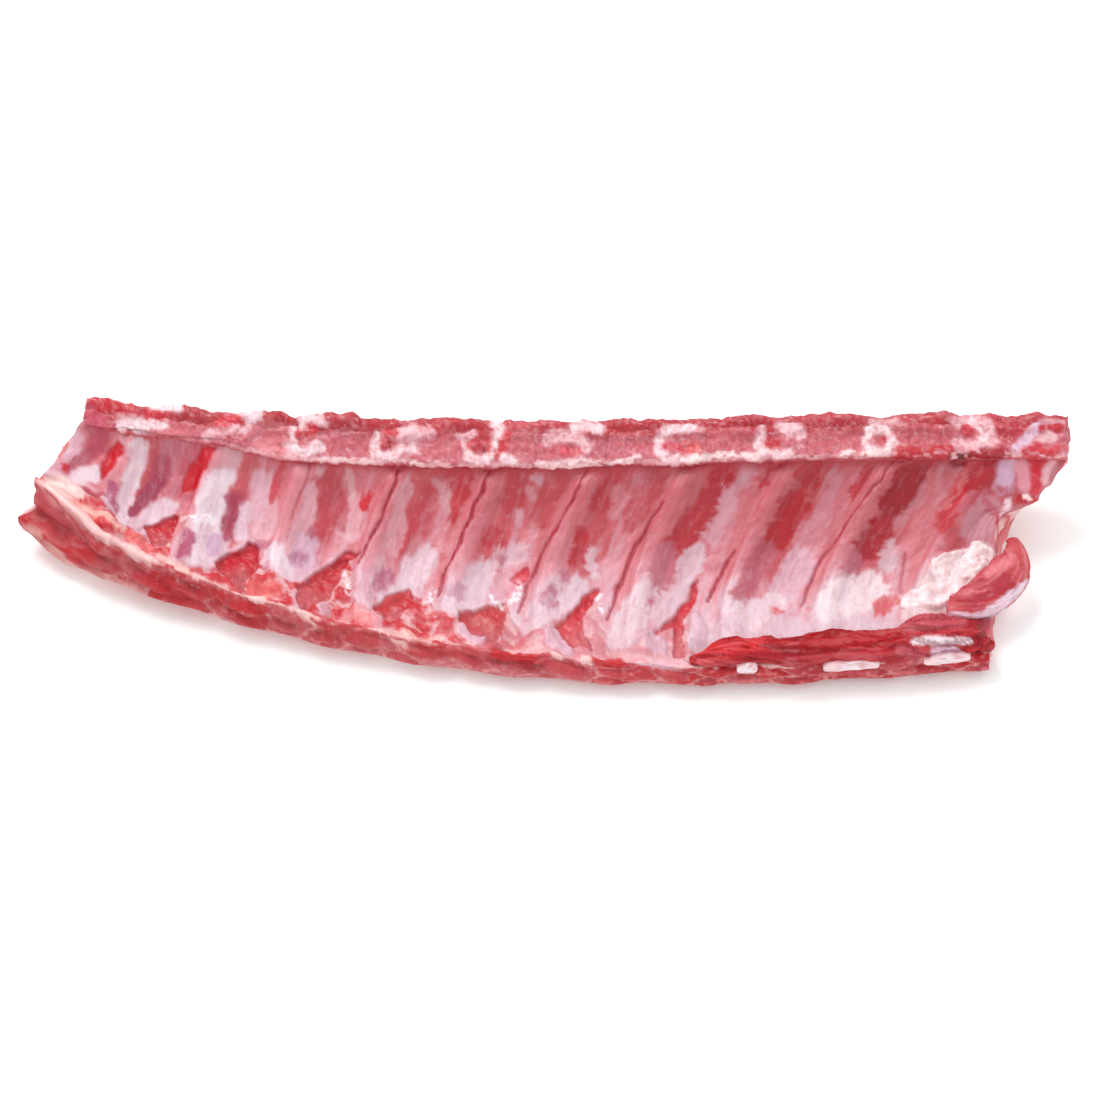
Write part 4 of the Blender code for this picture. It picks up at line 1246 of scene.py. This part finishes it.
# joints in photo pixels: the rim's centre x, y, half width and height, the hollow's half width
# and height
JOINTS = (
    (134, 427, 12, 7, 2, 1), (243, 427, 14, 13, 3, 2), (305, 441, 14, 12, 9, 7),
    (390, 446, 14, 14, 8, 7), (481, 450, 14, 14, 8, 6), (573, 449, 18, 14, 8, 6),
    (688, 448, 22, 15, 8, 5), (776, 447, 17, 13, 7, 6), (880, 440, 14, 11, 7, 5),
    (969, 437, 18, 16, 6, 4),
)
# strokes on the sawn face
SPINE_SHADES = (
    (((90, 402, 5), (112, 404, 6), (130, 408, 5)), 4, (196, 44, 56), 0.95),
    (((90, 414, 6), (98, 430, 9), (110, 430, 7)), 5, (186, 76, 94), 0.95),
    (((122, 424, 4), (146, 428, 4)), 4, (232, 192, 202), 0.9),
    (((146, 415, 3), (165, 416, 4)), 3, (196, 54, 62), 0.9),
    (((154, 407, 3), (180, 406, 3)), 3, (240, 196, 206), 0.9),
    (((160, 432, 7), (198, 433, 7)), 6, (206, 108, 120), 0.9),
    (((186, 415, 5), (210, 421, 6)), 4, (176, 52, 62), 0.95),
    (((219, 424, 5), (238, 420, 5)), 4, (206, 54, 64), 0.9),
    (((242, 413, 4), (256, 420, 5), (254, 436, 4)), 4, (242, 208, 216), 0.9),
    (((263, 413, 4), (298, 418, 4)), 4, (178, 48, 56), 0.95),
    (((256, 432, 8), (286, 436, 10)), 6, (208, 112, 122), 0.9),
    (((288, 448, 3), (304, 452, 3), (318, 446, 3)), 4, (242, 206, 212), 0.8),
    (((300, 418, 2), (326, 424, 2)), 4, (236, 184, 192), 0.8),
    (((344, 422, 4), (384, 426, 5)), 4, (182, 52, 62), 0.95),
    (((332, 442, 8), (368, 442, 9)), 6, (204, 104, 116), 0.9),
    (((412, 432, 4), (420, 448, 5)), 5, (234, 178, 188), 0.8),
    (((430, 424, 5), (480, 428, 6)), 4, (182, 54, 62), 0.95),
    (((428, 448, 8), (462, 448, 9)), 6, (208, 112, 122), 0.9),
    (((508, 436, 4), (498, 454, 4)), 4, (196, 52, 60), 0.9),
    (((506, 461, 3), (514, 462, 3)), 3, (242, 206, 210), 0.8),
    (((508, 424, 4), (556, 428, 4)), 4, (196, 72, 82), 0.9),
    (((520, 445, 10), (550, 446, 8)), 7, (206, 108, 118), 0.9),
    (((574, 425, 4), (598, 429, 4)), 5, (234, 176, 184), 0.8),
    (((610, 426, 4), (660, 429, 5)), 4, (180, 50, 58), 0.95),
    (((616, 446, 8), (646, 447, 8)), 6, (206, 106, 118), 0.9),
    (((676, 429, 3), (700, 431, 3)), 4, (232, 172, 182), 0.75),
    (((714, 424, 4), (766, 426, 5)), 4, (180, 50, 60), 0.95),
    (((716, 441, 7), (748, 442, 8)), 6, (206, 106, 118), 0.9),
    (((778, 426, 3), (800, 430, 3)), 4, (232, 176, 186), 0.8),
    (((806, 425, 4), (858, 426, 5)), 4, (178, 52, 62), 0.95),
    (((812, 441, 7), (852, 441, 7)), 6, (204, 104, 114), 0.9),
    (((872, 422, 2), (900, 424, 2)), 4, (234, 182, 190), 0.8),
    (((906, 420, 4), (950, 420, 4)), 4, (184, 56, 64), 0.95),
    (((908, 434, 7), (946, 436, 6)), 6, (200, 96, 106), 0.9),
    (((966, 418, 2), (982, 424, 2)), 3, (214, 100, 108), 0.8),
    (((996, 426, 5), (1010, 432, 6)), 4, (190, 52, 60), 0.95),
    (((1000, 430, 6), (1020, 433, 7)), 5, (192, 60, 74), 0.9),
    (((1037, 427, 2), (1028, 438, 3), (1016, 447, 3)), 4, (236, 204, 226), 0.9),
    (((1042, 423, 2), (1062, 421, 2)), 4, (236, 178, 192), 0.85),
    (((1038, 431, 1), (1060, 429, 2)), 3, (196, 44, 60), 0.85),
    (((1040, 439, 2), (1056, 437, 2)), 4, (240, 196, 202), 0.8),
)
# marks at the joints, as (line, colour)
WHITE, ROSE, RED = (246, 220, 226), (238, 192, 200), (202, 56, 68)
JOINT_MARKS = (
    (((120, 432, 2), (128, 424, 3), (142, 425, 3), (165, 427, 1.5)), WHITE),
    (((152, 408, 1), (162, 407, 1.5), (180, 409, 1.5)), WHITE),
    (((146, 414, 2), (164, 415, 2)), RED),
    (((206, 436, 1.5), (222, 430, 2), (246, 430, 2.5)), ROSE),
    (((228, 409, 1.5), (246, 409, 1.5), (258, 414, 2.5), (250, 422, 2.5)), WHITE),
    (((222, 426, 3), (236, 419, 3)), RED),
    (((308, 418, 2), (320, 420, 2)), WHITE),
    (((294, 430, 1), (293, 444, 1.5), (299, 450, 3), (310, 451, 4), (320, 448, 3)), WHITE),
    (((300, 437, 3), (312, 428, 3)), RED),
    (((302, 416, 1), (303, 428, 1)), WHITE),
    (((404, 434, 5), (428, 433, 3)), ROSE),
    (((376, 434, 1), (374, 446, 1.5), (378, 456, 3), (392, 457, 4), (402, 448, 2.5)), WHITE),
    (((384, 446, 1.5), (385, 437, 3), (396, 434, 2)), RED),
    (((411, 448, 3),), WHITE),
    (((460, 437, 1), (474, 434, 1.5)), ROSE),
    (((466, 442, 1), (469, 458, 2.5), (484, 462, 3.5), (491, 455, 2)), WHITE),
    (((494, 420, 2.5), (500, 432, 2.5), (494, 446, 1.5)), WHITE),
    (((472, 445, 3), (486, 444, 4)), RED),
    (((507, 436, 3), (501, 452, 3)), RED),
    (((504, 459, 3), (514, 463, 2.5)), WHITE),
    (((548, 440, 4), (556, 434, 4), (572, 435, 4), (586, 446, 4)), ROSE),
    (((574, 428, 3), (600, 430, 3)), WHITE),
    (((540, 464, 2), (562, 464, 2), (586, 462, 2.5)), WHITE),
    (((565, 450, 3), (577, 450, 2.5)), (212, 74, 88)),
    (((666, 431, 4), (692, 429, 3)), WHITE),
    (((660, 437, 1), (657, 450, 1.5), (666, 460, 3), (688, 461, 3)), WHITE),
    (((686, 447, 5), (694, 446, 5)), (218, 104, 106)),
    (((665, 446, 1.5), (680, 447, 1.5)), (208, 74, 92)),
    (((784, 429, 4), (800, 434, 4)), ROSE),
    (((761, 434, 2), (758, 446, 2.5), (766, 454, 2), (790, 454, 2)), WHITE),
    (((768, 443, 2.5), (777, 443, 2)), RED),
    (((870, 431, 2), (865, 441, 2), (870, 450, 2), (884, 452, 2), (893, 444, 2), (889, 433, 2),
      (878, 429, 2), (870, 431, 2)), WHITE),
    (((881, 440, 2),), RED),
    (((956, 425, 3), (972, 419, 3), (988, 425, 3), (992, 440, 4), (976, 447, 3), (958, 444, 3)),
     ROSE),
    (((972, 422, 2), (984, 440, 2)), WHITE),
    (((966, 431, 2), (975, 434, 1.5)), RED),
)
# strokes on the torn lip
LIP_SHADES = (
    (((92, 418, 5), (104, 426, 6), (110, 434, 4)), 4, (188, 80, 98), 0.95),
    (((150, 440, 3), (176, 434, 3), (200, 444, 3)), 4, (206, 112, 122), 0.9),
    (((262, 446, 4), (280, 454, 4)), 5, (222, 140, 146), 0.8),
    (((322, 460, 1.5), (372, 462, 2)), 2, (246, 214, 214), 0.9),
    (((404, 463, 2), (440, 464, 2)), 2, (246, 212, 214), 0.9),
    (((540, 466, 2.5), (588, 466, 3), (620, 462, 2), (640, 460, 2)), 2, (248, 216, 218), 0.95),
    (((692, 458, 2), (730, 455, 2.5), (758, 457, 2)), 2, (248, 218, 218), 0.95),
    (((842, 453, 2), (894, 453, 2)), 2, (248, 218, 220), 0.9),
    (((898, 453, 5), (948, 452, 5)), 3, (184, 44, 54), 0.95),
    (((972, 456, 4), (990, 455, 5), (1006, 453, 4)), 3, (160, 34, 44), 0.95),
    # painted shade of that hole, where it runs on to the lip
    (((956, 457, 4), (963, 459, 4)), 4, (92, 32, 28), 0.9),
    (((1030, 453, 5), (1052, 450, 6)), 4, (190, 44, 58), 0.9),
)


def spine_relief(px, py, x, along):
    """How far the sawn face stands out, and how much it is a joint's rim or hollow."""
    rim, hollow = np.zeros_like(px), np.zeros_like(px)
    for cx, cy, rx, ry, hx, hy in JOINTS:
        away = np.hypot((px - cx) / rx, (py - cy) / ry) + 0.8 * clouds(px / 8.0, py / 8.0, 201)
        below = 0.35 + 0.65 * ramp(py, cy - 0.6 * ry, cy + 0.3 * ry)
        rim = np.maximum(rim, below * bump(away, 0.85, 0.34))
        within_hollow = np.hypot((px - cx) / hx, (py - cy) / hy)
        within_hollow = within_hollow + 0.3 * clouds(px / 4.0, py / 4.0, 205)
        hollow = np.maximum(hollow, 1.0 - ramp(within_hollow, 0.6, 1.15))
    spongy = 0.5 * clouds(x / 1.8, along / 1.8, 211, 3) + 1.6 * clouds(x / 7.0, along / 5.0, 215)
    muscle = ramp(along + 2.0 * clouds(x / 5.0, along / 5.0, 221), 7.5, 9.5) * (1.0 - rim)
    return spongy + 1.1 * rim - 1.3 * hollow + 1.4 * muscle, rim, hollow


def spine_paint(px, py, x, along, out):
    """Colours of the sawn face: marrow, muscle above it, white joints and a pale torn lip."""
    nx = px + 3.0 * clouds(px / 7.0, py / 7.0, 231) + 1.6 * clouds(px / 2.6, py / 2.6, 235)
    ny = py + 3.0 * clouds(px / 7.0, py / 7.0, 241) + 1.6 * clouds(px / 2.6, py / 2.6, 245)
    muscle = ramp(along + 2.5 * clouds(x / 5.0, along / 5.0, 221), 7.0, 9.0)
    paint = layered(
        filled(nx[..., None], MARROW),
        (MARROW_LIGHT, 0.7 * ramp(clouds(x / 5.0, along / 5.0, 255), 0.0, 0.25)),
        ((184, 56, 66), 0.9 * muscle))
    paint = 0.86 * streaked(paint, nx, ny, SPINE_SHADES)
    torn = 0.55 + 0.45 * ramp(clouds(px / 3.0, py / 3.0, 265), -0.25, 0.1)
    for line, colour in JOINT_MARKS:
        paint = over(paint, colour, 0.9 * torn * stroke(nx, ny, line, 4.5))
    vein = 1.0 - ramp(np.abs(clouds(x / 9.0, along / 4.0, 257, 3)), 0.01, 0.05)
    cells = clouds(x / 1.4, along / 1.4, 251, 3)
    lip_noise = clouds(x / 6.0, along / 6.0, 261)
    edge = 1.0 - ramp(along + 3.0 * lip_noise, -2.6, -1.2)
    edge = edge * (0.15 + 0.85 * ramp(x, -150.0, -110.0))
    edge = edge * (0.35 + 0.65 * ramp(lip_noise, -0.1, 0.1))
    front = (1.0 - ramp(along, -2.0, -1.0)) * (1.0 - ramp(out + 2.0 * lip_noise, -1.6, -0.2))
    paint = layered(
        paint,
        ((240, 196, 202), 0.3 * vein),
        ((238, 196, 202), 0.12 * ramp(cells, 0.12, 0.28)),
        ((176, 56, 68), 0.25 * ramp(-cells, 0.12, 0.28)),
        ((240, 190, 196), 0.9 * edge),
        ((190, 74, 82), 0.85 * front))
    torn = ramp(clouds(px / 6.0, py / 4.0, 263), -0.3, 0.05)
    return streaked(paint, nx, ny, LIP_SHADES, 1.5, torn)


def make_spine_piece(node, start, end, bulge, look, waist):
    """A stretch of the sawn spine between two stations."""
    count = max(int((end - start) * RIB_PITCH / VERTEBRA_STEP), 12)
    u = np.linspace(start, end, count)[:, None]
    s = (u - start) / (end - start)
    from_end = np.minimum(u - start, end - u) * RIB_PITCH
    grow = -waist * np.sin(np.pi * s) - 0.9 * (1.0 - ramp(from_end, 0.0, 1.4))
    controls = []
    for along, out in VERTEBRA:
        front = tuck(u) * float(ramp(along, 4.0, -1.0))
        y, z = spine_point(u, along + front, out + (grow if out > -3.5 else 0.0))
        controls.append(points_at(spine_place_x(u), y, z))
    rings = closed_through(np.concatenate(controls, axis=1), FACE_SHARES)
    rings = with_ends(rings, bulge)
    outline = closed_through(np.array(VERTEBRA)[None], FACE_SHARES)[0]
    along = np.broadcast_to(outline[:, 0], rings.shape[:2])
    out = np.broadcast_to(outline[:, 1], rings.shape[:2])
    px, py = cast(rings)
    x = rings[..., 0]
    relief, rim, hollow = spine_relief(px, py, x, along)
    shown = ramp(out, -5.0, -2.0)
    rings = raised(rings, relief * shown)
    under = filled(rings, (214, 130, 136))
    paint = spine_paint(px, py, x, along, out)
    paint = paint * shown[..., None] + under * (1.0 - shown[..., None])
    film = np.clip(0.2 + 0.6 * rim + 0.5 * hollow, 0.0, 1.0)
    ring_piece(node, rings, paint, film, (x, along, out), look)


def make_spine():
    """The vertebrae, and a disc in each joint between them."""
    half = (DISC_HALF + 0.1) / RIB_PITCH
    for number in range(1, RIB_COUNT + 2):
        start = LEFT_END + END_GAP if number == 1 else number - 1 + half - JOINT_OVERLAP
        end = RIGHT_END - END_GAP if number == RIB_COUNT + 1 else number - half + JOINT_OVERLAP
        make_spine_piece(f"vertebra_{number:02d}", start, end, VERTEBRA_BULGE, marrow_look,
                         VERTEBRA_WAIST)
    for number in range(1, RIB_COUNT + 1):
        make_spine_piece(f"disc_{number:02d}", number - half, number + half, DISC_BULGE,
                         gristle_look, -DISC_SWELL)


# ---- rib bones ----
RIB_POINTS = 28
RIB_STATIONS = 70
FIRST_WHITE_RIB = 8     # from here on the cut ends are white, and reach through the near wall
FLARES = {8: -0.2, 9: 1.2, 10: 0.9}         # how much wider a rib's cut end is, in half widths
END_SHIFTS = {8: 4.4, 9: 7.5, 10: 7.5}      # how far its cut end lies right of its line, mm


def make_ribs():
    """The ribs, each from its cut end at the near rim to the spine."""
    angle = np.linspace(0.0, 2.0 * np.pi, RIB_POINTS, endpoint=False)[None, :]
    wide = 0.9 * RIB_HALF * np.sign(np.cos(angle)) * np.abs(np.cos(angle)) ** 0.8
    deep = np.sign(np.sin(angle)) * np.abs(np.sin(angle)) ** 0.8
    t = np.linspace(0.0, RIB_END_T, RIB_STATIONS)[:, None]
    for number in range(1, RIB_COUNT + 1):
        white = number >= FIRST_WHITE_RIB
        flare = FLARES.get(number, 0.0) * (1.0 - ramp(t, 0.0, 0.1))
        station = number + wide / RIB_PITCH + flare * wide / RIB_PITCH
        y, z = plain_inner(station, t)
        height = (-2.6 + 3.2 * (1.0 - ramp(t, 0.0, 0.12)) if white else -3.7) + 3.0 * deep
        x = place_x(station, t) + END_SHIFTS.get(number, 0.0) * (1.0 - ramp(t, 0.0, 0.25))
        points = points_at(x, y, z + height)
        start = points[:1] + np.array((0.0, -3.2 if white else -0.6, 0.0))
        points = with_ends(np.concatenate((start, points)), 0.5)
        x, y, z = points[..., 0], points[..., 1], points[..., 2]
        points = raised(points, 0.5 * clouds(x / 2.0, y / 6.0, 301, 3))
        middle = points[:6].mean(axis=(0, 1))
        away = np.abs(x - middle[0]) / RIB_HALF + np.abs(z - middle[2]) / 3.0
        end_face = 1.0 - ramp(y - points[5, :, 1].mean(), 0.8, 2.4)
        speckle = clouds(x / 1.6, z / 1.6, 305, 3)
        paint = layered(
            filled(points, (226, 160, 166)),
            ((240, 206, 212) if white else (206, 104, 110), end_face),
            ((236, 220, 226) if white else (192, 66, 74),
             end_face * (1.0 - ramp(away + 0.6 * speckle, 0.75, 1.15))),
            ((170, 44, 54), 0.4 * end_face * ramp(speckle, 0.14, 0.28)))
        ring_piece(f"rib_{number:02d}", points, paint, 0.4, (x, y, z), bone_look)


# ---- the loose pieces at the right ----
LOOP_POINTS = 56
STRIP_START = 7.6               # station
STRIP_RINGS = 230
STRIP_THICK = 9.0               # mm
FAT_T = (0.34, 0.66)
FAT_U = (10.25, 10.68)          # stations
FAT_RINGS = 60
FAT_THICK = 5.0                 # mm
FLAP_RINGS = 90
FLAP_LENGTH = 75.0              # mm along its fibres
FLAP_SPINE = (
    (179.0, 34.3, 16.8), (198.0, 32.9, 18.4), (213.0, 46.2, 23.0), (206.3, 66.0, 22.8),
)
# strokes on the strip and on the flap
STRIP_SHADES = (
    (((690, 657, 6), (720, 649, 6), (760, 641, 6)), 6, (200, 44, 48), 0.9),
    (((775, 640, 8), (840, 640, 10), (892, 636, 8)), 6, (158, 14, 24), 0.9),
    (((700, 664, 4), (735, 672, 3)), 4, (182, 71, 79), 0.8),
    (((790, 664, 4), (806, 670, 4)), 4, (189, 81, 91), 0.8),
    (((838, 655, 1), (880, 656, 1)), 3, (189, 76, 86), 0.7),
    (((896, 622, 5), (940, 622, 7), (960, 622, 4)), 5, (187, 83, 95), 0.9),
    (((905, 636, 1), (960, 631, 1)), 3, (174, 39, 49), 0.8),
    (((916, 641, 2.5), (940, 640, 3.5), (968, 641, 2.5)), 2.5, (242, 228, 234), 0.95),
    (((938, 652, 5), (956, 656, 6)), 4, (222, 192, 212), 0.95),
    (((972, 656, 6), (986, 660, 5)), 4, (191, 42, 49), 0.9),
    (((940, 668, 3), (966, 669, 3)), 3, (147, 25, 33), 0.9),
    (((900, 650, 4), (920, 658, 5)), 4, (193, 88, 100), 0.85),
    (((910, 669, 3), (930, 671, 2)), 3, (174, 51, 58), 0.85),
)
FLAP_SHADES = (
    (((962, 592, 9), (985, 588, 10), (1006, 572, 7)), 6, (174, 62, 72), 0.9),
    (((1012, 566, 6), (1019, 554, 5)), 6, (192, 80, 86), 0.9),
    # painted highlight: a lighter patch on the top of the flap
    (((990, 574, 3), (1010, 560, 4)), 5, (214, 120, 126), 0.8),
    (((958, 604, 2), (990, 602, 3), (1012, 586, 2)), 4, (172, 52, 64), 0.75),
    (((948, 618, 4), (982, 618, 5), (1003, 604, 4.5), (1026, 582, 2)), 2.5, (234, 212, 228), 0.95),
    (((984, 628, 2), (1006, 612, 2), (1030, 590, 2)), 2, (190, 52, 66), 0.85),
)


def loop_through(controls):
    """Rings of points through rows of control points, one row for each place round a ring."""
    shares = np.linspace(0.0, len(controls), LOOP_POINTS, endpoint=False)
    return closed_through(np.concatenate(controls, axis=1), shares)


def make_strip():
    """The strip of bare muscle that lies along the near rim at the right."""
    s = np.linspace(0.0, 1.0, STRIP_RINGS)[:, None]
    u = STRIP_START + (RIGHT_END - 0.03 - STRIP_START) * s
    swell = np.sqrt(np.sin(np.pi * (0.04 + 0.92 * s)))
    full_end = ramp(s, 0.66, 0.82) * (1.0 - ramp(s, 0.96, 1.0))
    reach = 0.05 + 0.13 * swell + 0.09 * full_end
    thick = STRIP_THICK * swell + 0.6 * np.sin(9.0 * s) + 3.0 * full_end
    overhang = 1.5 * swell
    controls = []
    # its underside, which lies on the slab, and its top
    for v, lift in ((1.0, 0.6), (0.66, 0.6), (0.33, 0.6), (0.0, 0.6),
                    (-0.04, STRIP_GAP + thick * 0.45), (0.2, STRIP_GAP + thick * 0.92),
                    (0.52, STRIP_GAP + thick * 1.0), (0.85, STRIP_GAP + thick * 0.55)):
        at = np.maximum(reach * v, 0.0)
        y, z = plain_inner(u, at)
        y = y - overhang * (1.0 - v) - (1.0 if v < 0.0 else 0.0)
        controls.append(points_at(place_x(u, at), y, z + lift))
    rings = with_ends(loop_through(controls), 2.0)
    arc, x = arc_of(rings), rings[..., 0]
    rings = raised(rings, 2.6 * clouds(x / 16.0, arc / 5.0, 401)
                   + 1.3 * clouds(x / 7.0, arc / 1.8, 405, 3))
    nx, ny = frayed(*cast(rings), (3.0, 2.5), (9.0, 6.0), (411, 415))
    fibres = clouds(x / 14.0, arc / 1.6, 421, 4)
    paint = layered(
        streaked(filled(rings, (166, 34, 44)), nx, ny, STRIP_SHADES),
        ((210, 100, 106), 0.34 * ramp(fibres, 0.1, 0.28)),
        ((122, 16, 26), 0.6 * ramp(-fibres, 0.06, 0.24)))
    ring_piece("muscle_strip", rings, paint, 0.3, (x, arc, 0.0 * arc), muscle_look)


def make_fat():
    """The lump of fat at the right end."""
    s = np.linspace(0.0, 1.0, FAT_RINGS)[:, None]
    t = FAT_T[0] + (FAT_T[1] - FAT_T[0]) * s
    swell = np.sqrt(np.sin(np.pi * (0.05 + 0.9 * s)))
    middle, half = (FAT_U[0] + FAT_U[1]) / 2.0, (FAT_U[1] - FAT_U[0]) / 2.0 * swell
    controls = []
    for v, rise in ((-1.0, 0.0), (-0.4, -0.3), (0.4, -0.3), (1.0, 0.0), (0.8, 0.6), (0.3, 1.0),
                    (-0.35, 0.85), (-0.85, 0.5)):
        u = middle + half * v
        y, z = plain_inner(u, t)
        controls.append(points_at(place_x(u, t), y, z + 0.2 + FAT_THICK * swell * rise))
    rings = with_ends(loop_through(controls), 1.0)
    x, y = rings[..., 0], rings[..., 1]
    rings = raised(rings, 2.6 * clouds(x / 6.5, y / 6.5, 431) + 0.6 * clouds(x / 2.4, y / 2.4, 435))
    creases = 1.0 - ramp(np.abs(clouds(x / 4.0, y / 4.0, 441)), 0.01, 0.05)
    paint = layered(
        filled(rings, FAT),
        ((232, 156, 164), 0.3 * creases),
        ((226, 140, 150), 0.25 * ramp(clouds(x / 5.0, y / 5.0, 445), 0.22, 0.32)))
    ring_piece("fat_lump", rings, paint, 0.3, np.moveaxis(rings, -1, 0), fat_look)


def bezier(points, s):
    """The place at s of a cubic curve from the first of four points to the last."""
    a, b, c, d = (np.array(point, dtype=float) for point in points)
    return (1 - s) ** 3 * a + 3 * (1 - s) ** 2 * s * b + 3 * (1 - s) * s * s * c + s ** 3 * d


def make_flap():
    """The curled flap of muscle at the right end."""
    s = np.linspace(0.0, 1.0, FLAP_RINGS)[:, None]
    centre = bezier(FLAP_SPINE, s) + np.array((-1.2, 1.4, 0.8)) * np.sin(np.pi * s)
    ahead = (bezier(FLAP_SPINE, np.minimum(s + 0.02, 1.0))
             - bezier(FLAP_SPINE, np.maximum(s - 0.02, 0.0)))
    ahead = ahead / np.linalg.norm(ahead, axis=1, keepdims=True)
    side = np.cross(ahead, (0.35, -0.25, 0.9))
    side = side / np.linalg.norm(side, axis=1, keepdims=True)
    up = np.cross(side, ahead)
    wide = (2.4 + 7.2 * np.sin(np.pi * (0.12 + 0.8 * s)) ** 0.8) * (1.0 - 0.22 * ramp(s, 0.7, 1.0))
    thick = 1.4 + 2.6 * np.sin(np.pi * (0.1 + 0.82 * s))
    # the root is thicker underneath, so that it lies on the slab
    root = 5.2 - 3.4 * ramp(s, 0.6, 1.0)
    angle = np.linspace(0.0, 2.0 * np.pi, LOOP_POINTS, endpoint=False)[None, :, None]
    depth = (thick + root * (np.sin(angle[0, :, 0]) < 0.0))[..., None]
    rings = (centre[:, None] + side[:, None] * (wide[:, None] * np.cos(angle))
             + up[:, None] * (depth * np.sin(angle)))
    rings = with_ends(rings, 1.5)
    arc = arc_of(rings)
    run = np.broadcast_to(np.linspace(0.0, FLAP_LENGTH, len(rings))[:, None], arc.shape)
    rings = raised(rings, 1.8 * clouds(run / 16.0, arc / 7.0, 451, 2)
                   + 0.5 * clouds(run / 12.0, arc / 1.5, 455, 3))
    nx, ny = frayed(*cast(rings), (2.5, 2.5), (9.0, 6.0), (461, 465))
    fibres = clouds(run / 12.0, arc / 1.4, 471, 4)
    paint = layered(
        streaked(filled(rings, (190, 76, 84)), nx, ny, FLAP_SHADES),
        ((224, 140, 146), 0.4 * ramp(fibres, 0.1, 0.28)),
        ((160, 40, 50), 0.35 * ramp(-fibres, 0.1, 0.28)))
    ring_piece("muscle_flap", rings, paint, 0.6, (run, arc, 0.0 * arc), muscle_look)


# ---- camera, light and floor; places and sizes in metres, power in watts ----
KEY_PLACE = (-0.8, 0.9, 2.3)
KEY_SIZE = 1.4
KEY_POWER = 36.0
KEY_COLOUR = (1.0, 0.99, 0.97)
SKY_STRENGTH = 0.95
FLOOR_HALF = 9.0
PAPER_COLOUR = (0.93, 0.97, 0.965, 1.0)
PAPER_GLOW = 0.14


def make_camera():
    """A long lens at the photograph's angle, aimed so that a pixel is MM_PER_PIXEL wide."""
    lens = bpy.data.cameras.new("camera")
    lens.sensor_width = SENSOR
    lens.lens = SENSOR * DISTANCE / (PHOTO_SIDE * MM_PER_PIXEL)
    camera = add("camera", lens)
    away = np.array((0.0, -math.cos(ELEVATION), math.sin(ELEVATION)))
    camera.location = (AIM + away * DISTANCE) * MM
    camera.rotation_euler = (math.pi / 2.0 - ELEVATION, 0.0, 0.0)
    bpy.context.scene.camera = camera


def make_studio():
    """A white sky, one large soft lamp above on the left, and a plain pale floor."""
    world = bpy.data.worlds.new("studio")
    world.use_nodes = True
    fill(world.node_tree, "Background", {"Color": (1.0, 1.0, 1.0, 1.0), "Strength": SKY_STRENGTH})
    bpy.context.scene.world = world
    lamp = bpy.data.lights.new("key", "AREA")
    lamp.shape = "SQUARE"
    lamp.size = KEY_SIZE
    lamp.energy = KEY_POWER
    lamp.color = KEY_COLOUR
    key = add("key", lamp)
    key.location = KEY_PLACE
    key.rotation_euler = (-Vector(KEY_PLACE)).to_track_quat("-Z", "Y").to_euler()
    mesh = bpy.data.meshes.new("floor")
    corners = [(x * FLOOR_HALF, y * FLOOR_HALF, 0) for x, y in ((-1, -1), (1, -1), (1, 1), (-1, 1))]
    mesh.from_pydata(corners, [], [(0, 1, 2, 3)])
    paper = bpy.data.materials.new("paper")
    paper.use_nodes = True
    fill(paper.node_tree, "Principled BSDF", {
        "Base Color": PAPER_COLOUR,
        "Emission Color": (1.0, 1.0, 1.0, 1.0),
        "Emission Strength": PAPER_GLOW,
        "Roughness": 0.9,
        "Specular IOR Level": 0.1,
    })
    mesh.materials.append(paper)
    floor = add("floor", mesh)
    bpy.context.scene.view_settings.view_transform = "Standard"


make_meat()
make_ribs()
make_spine()
make_strip()
make_fat()
make_flap()
make_camera()
make_studio()
bpy.context.view_layer.update()
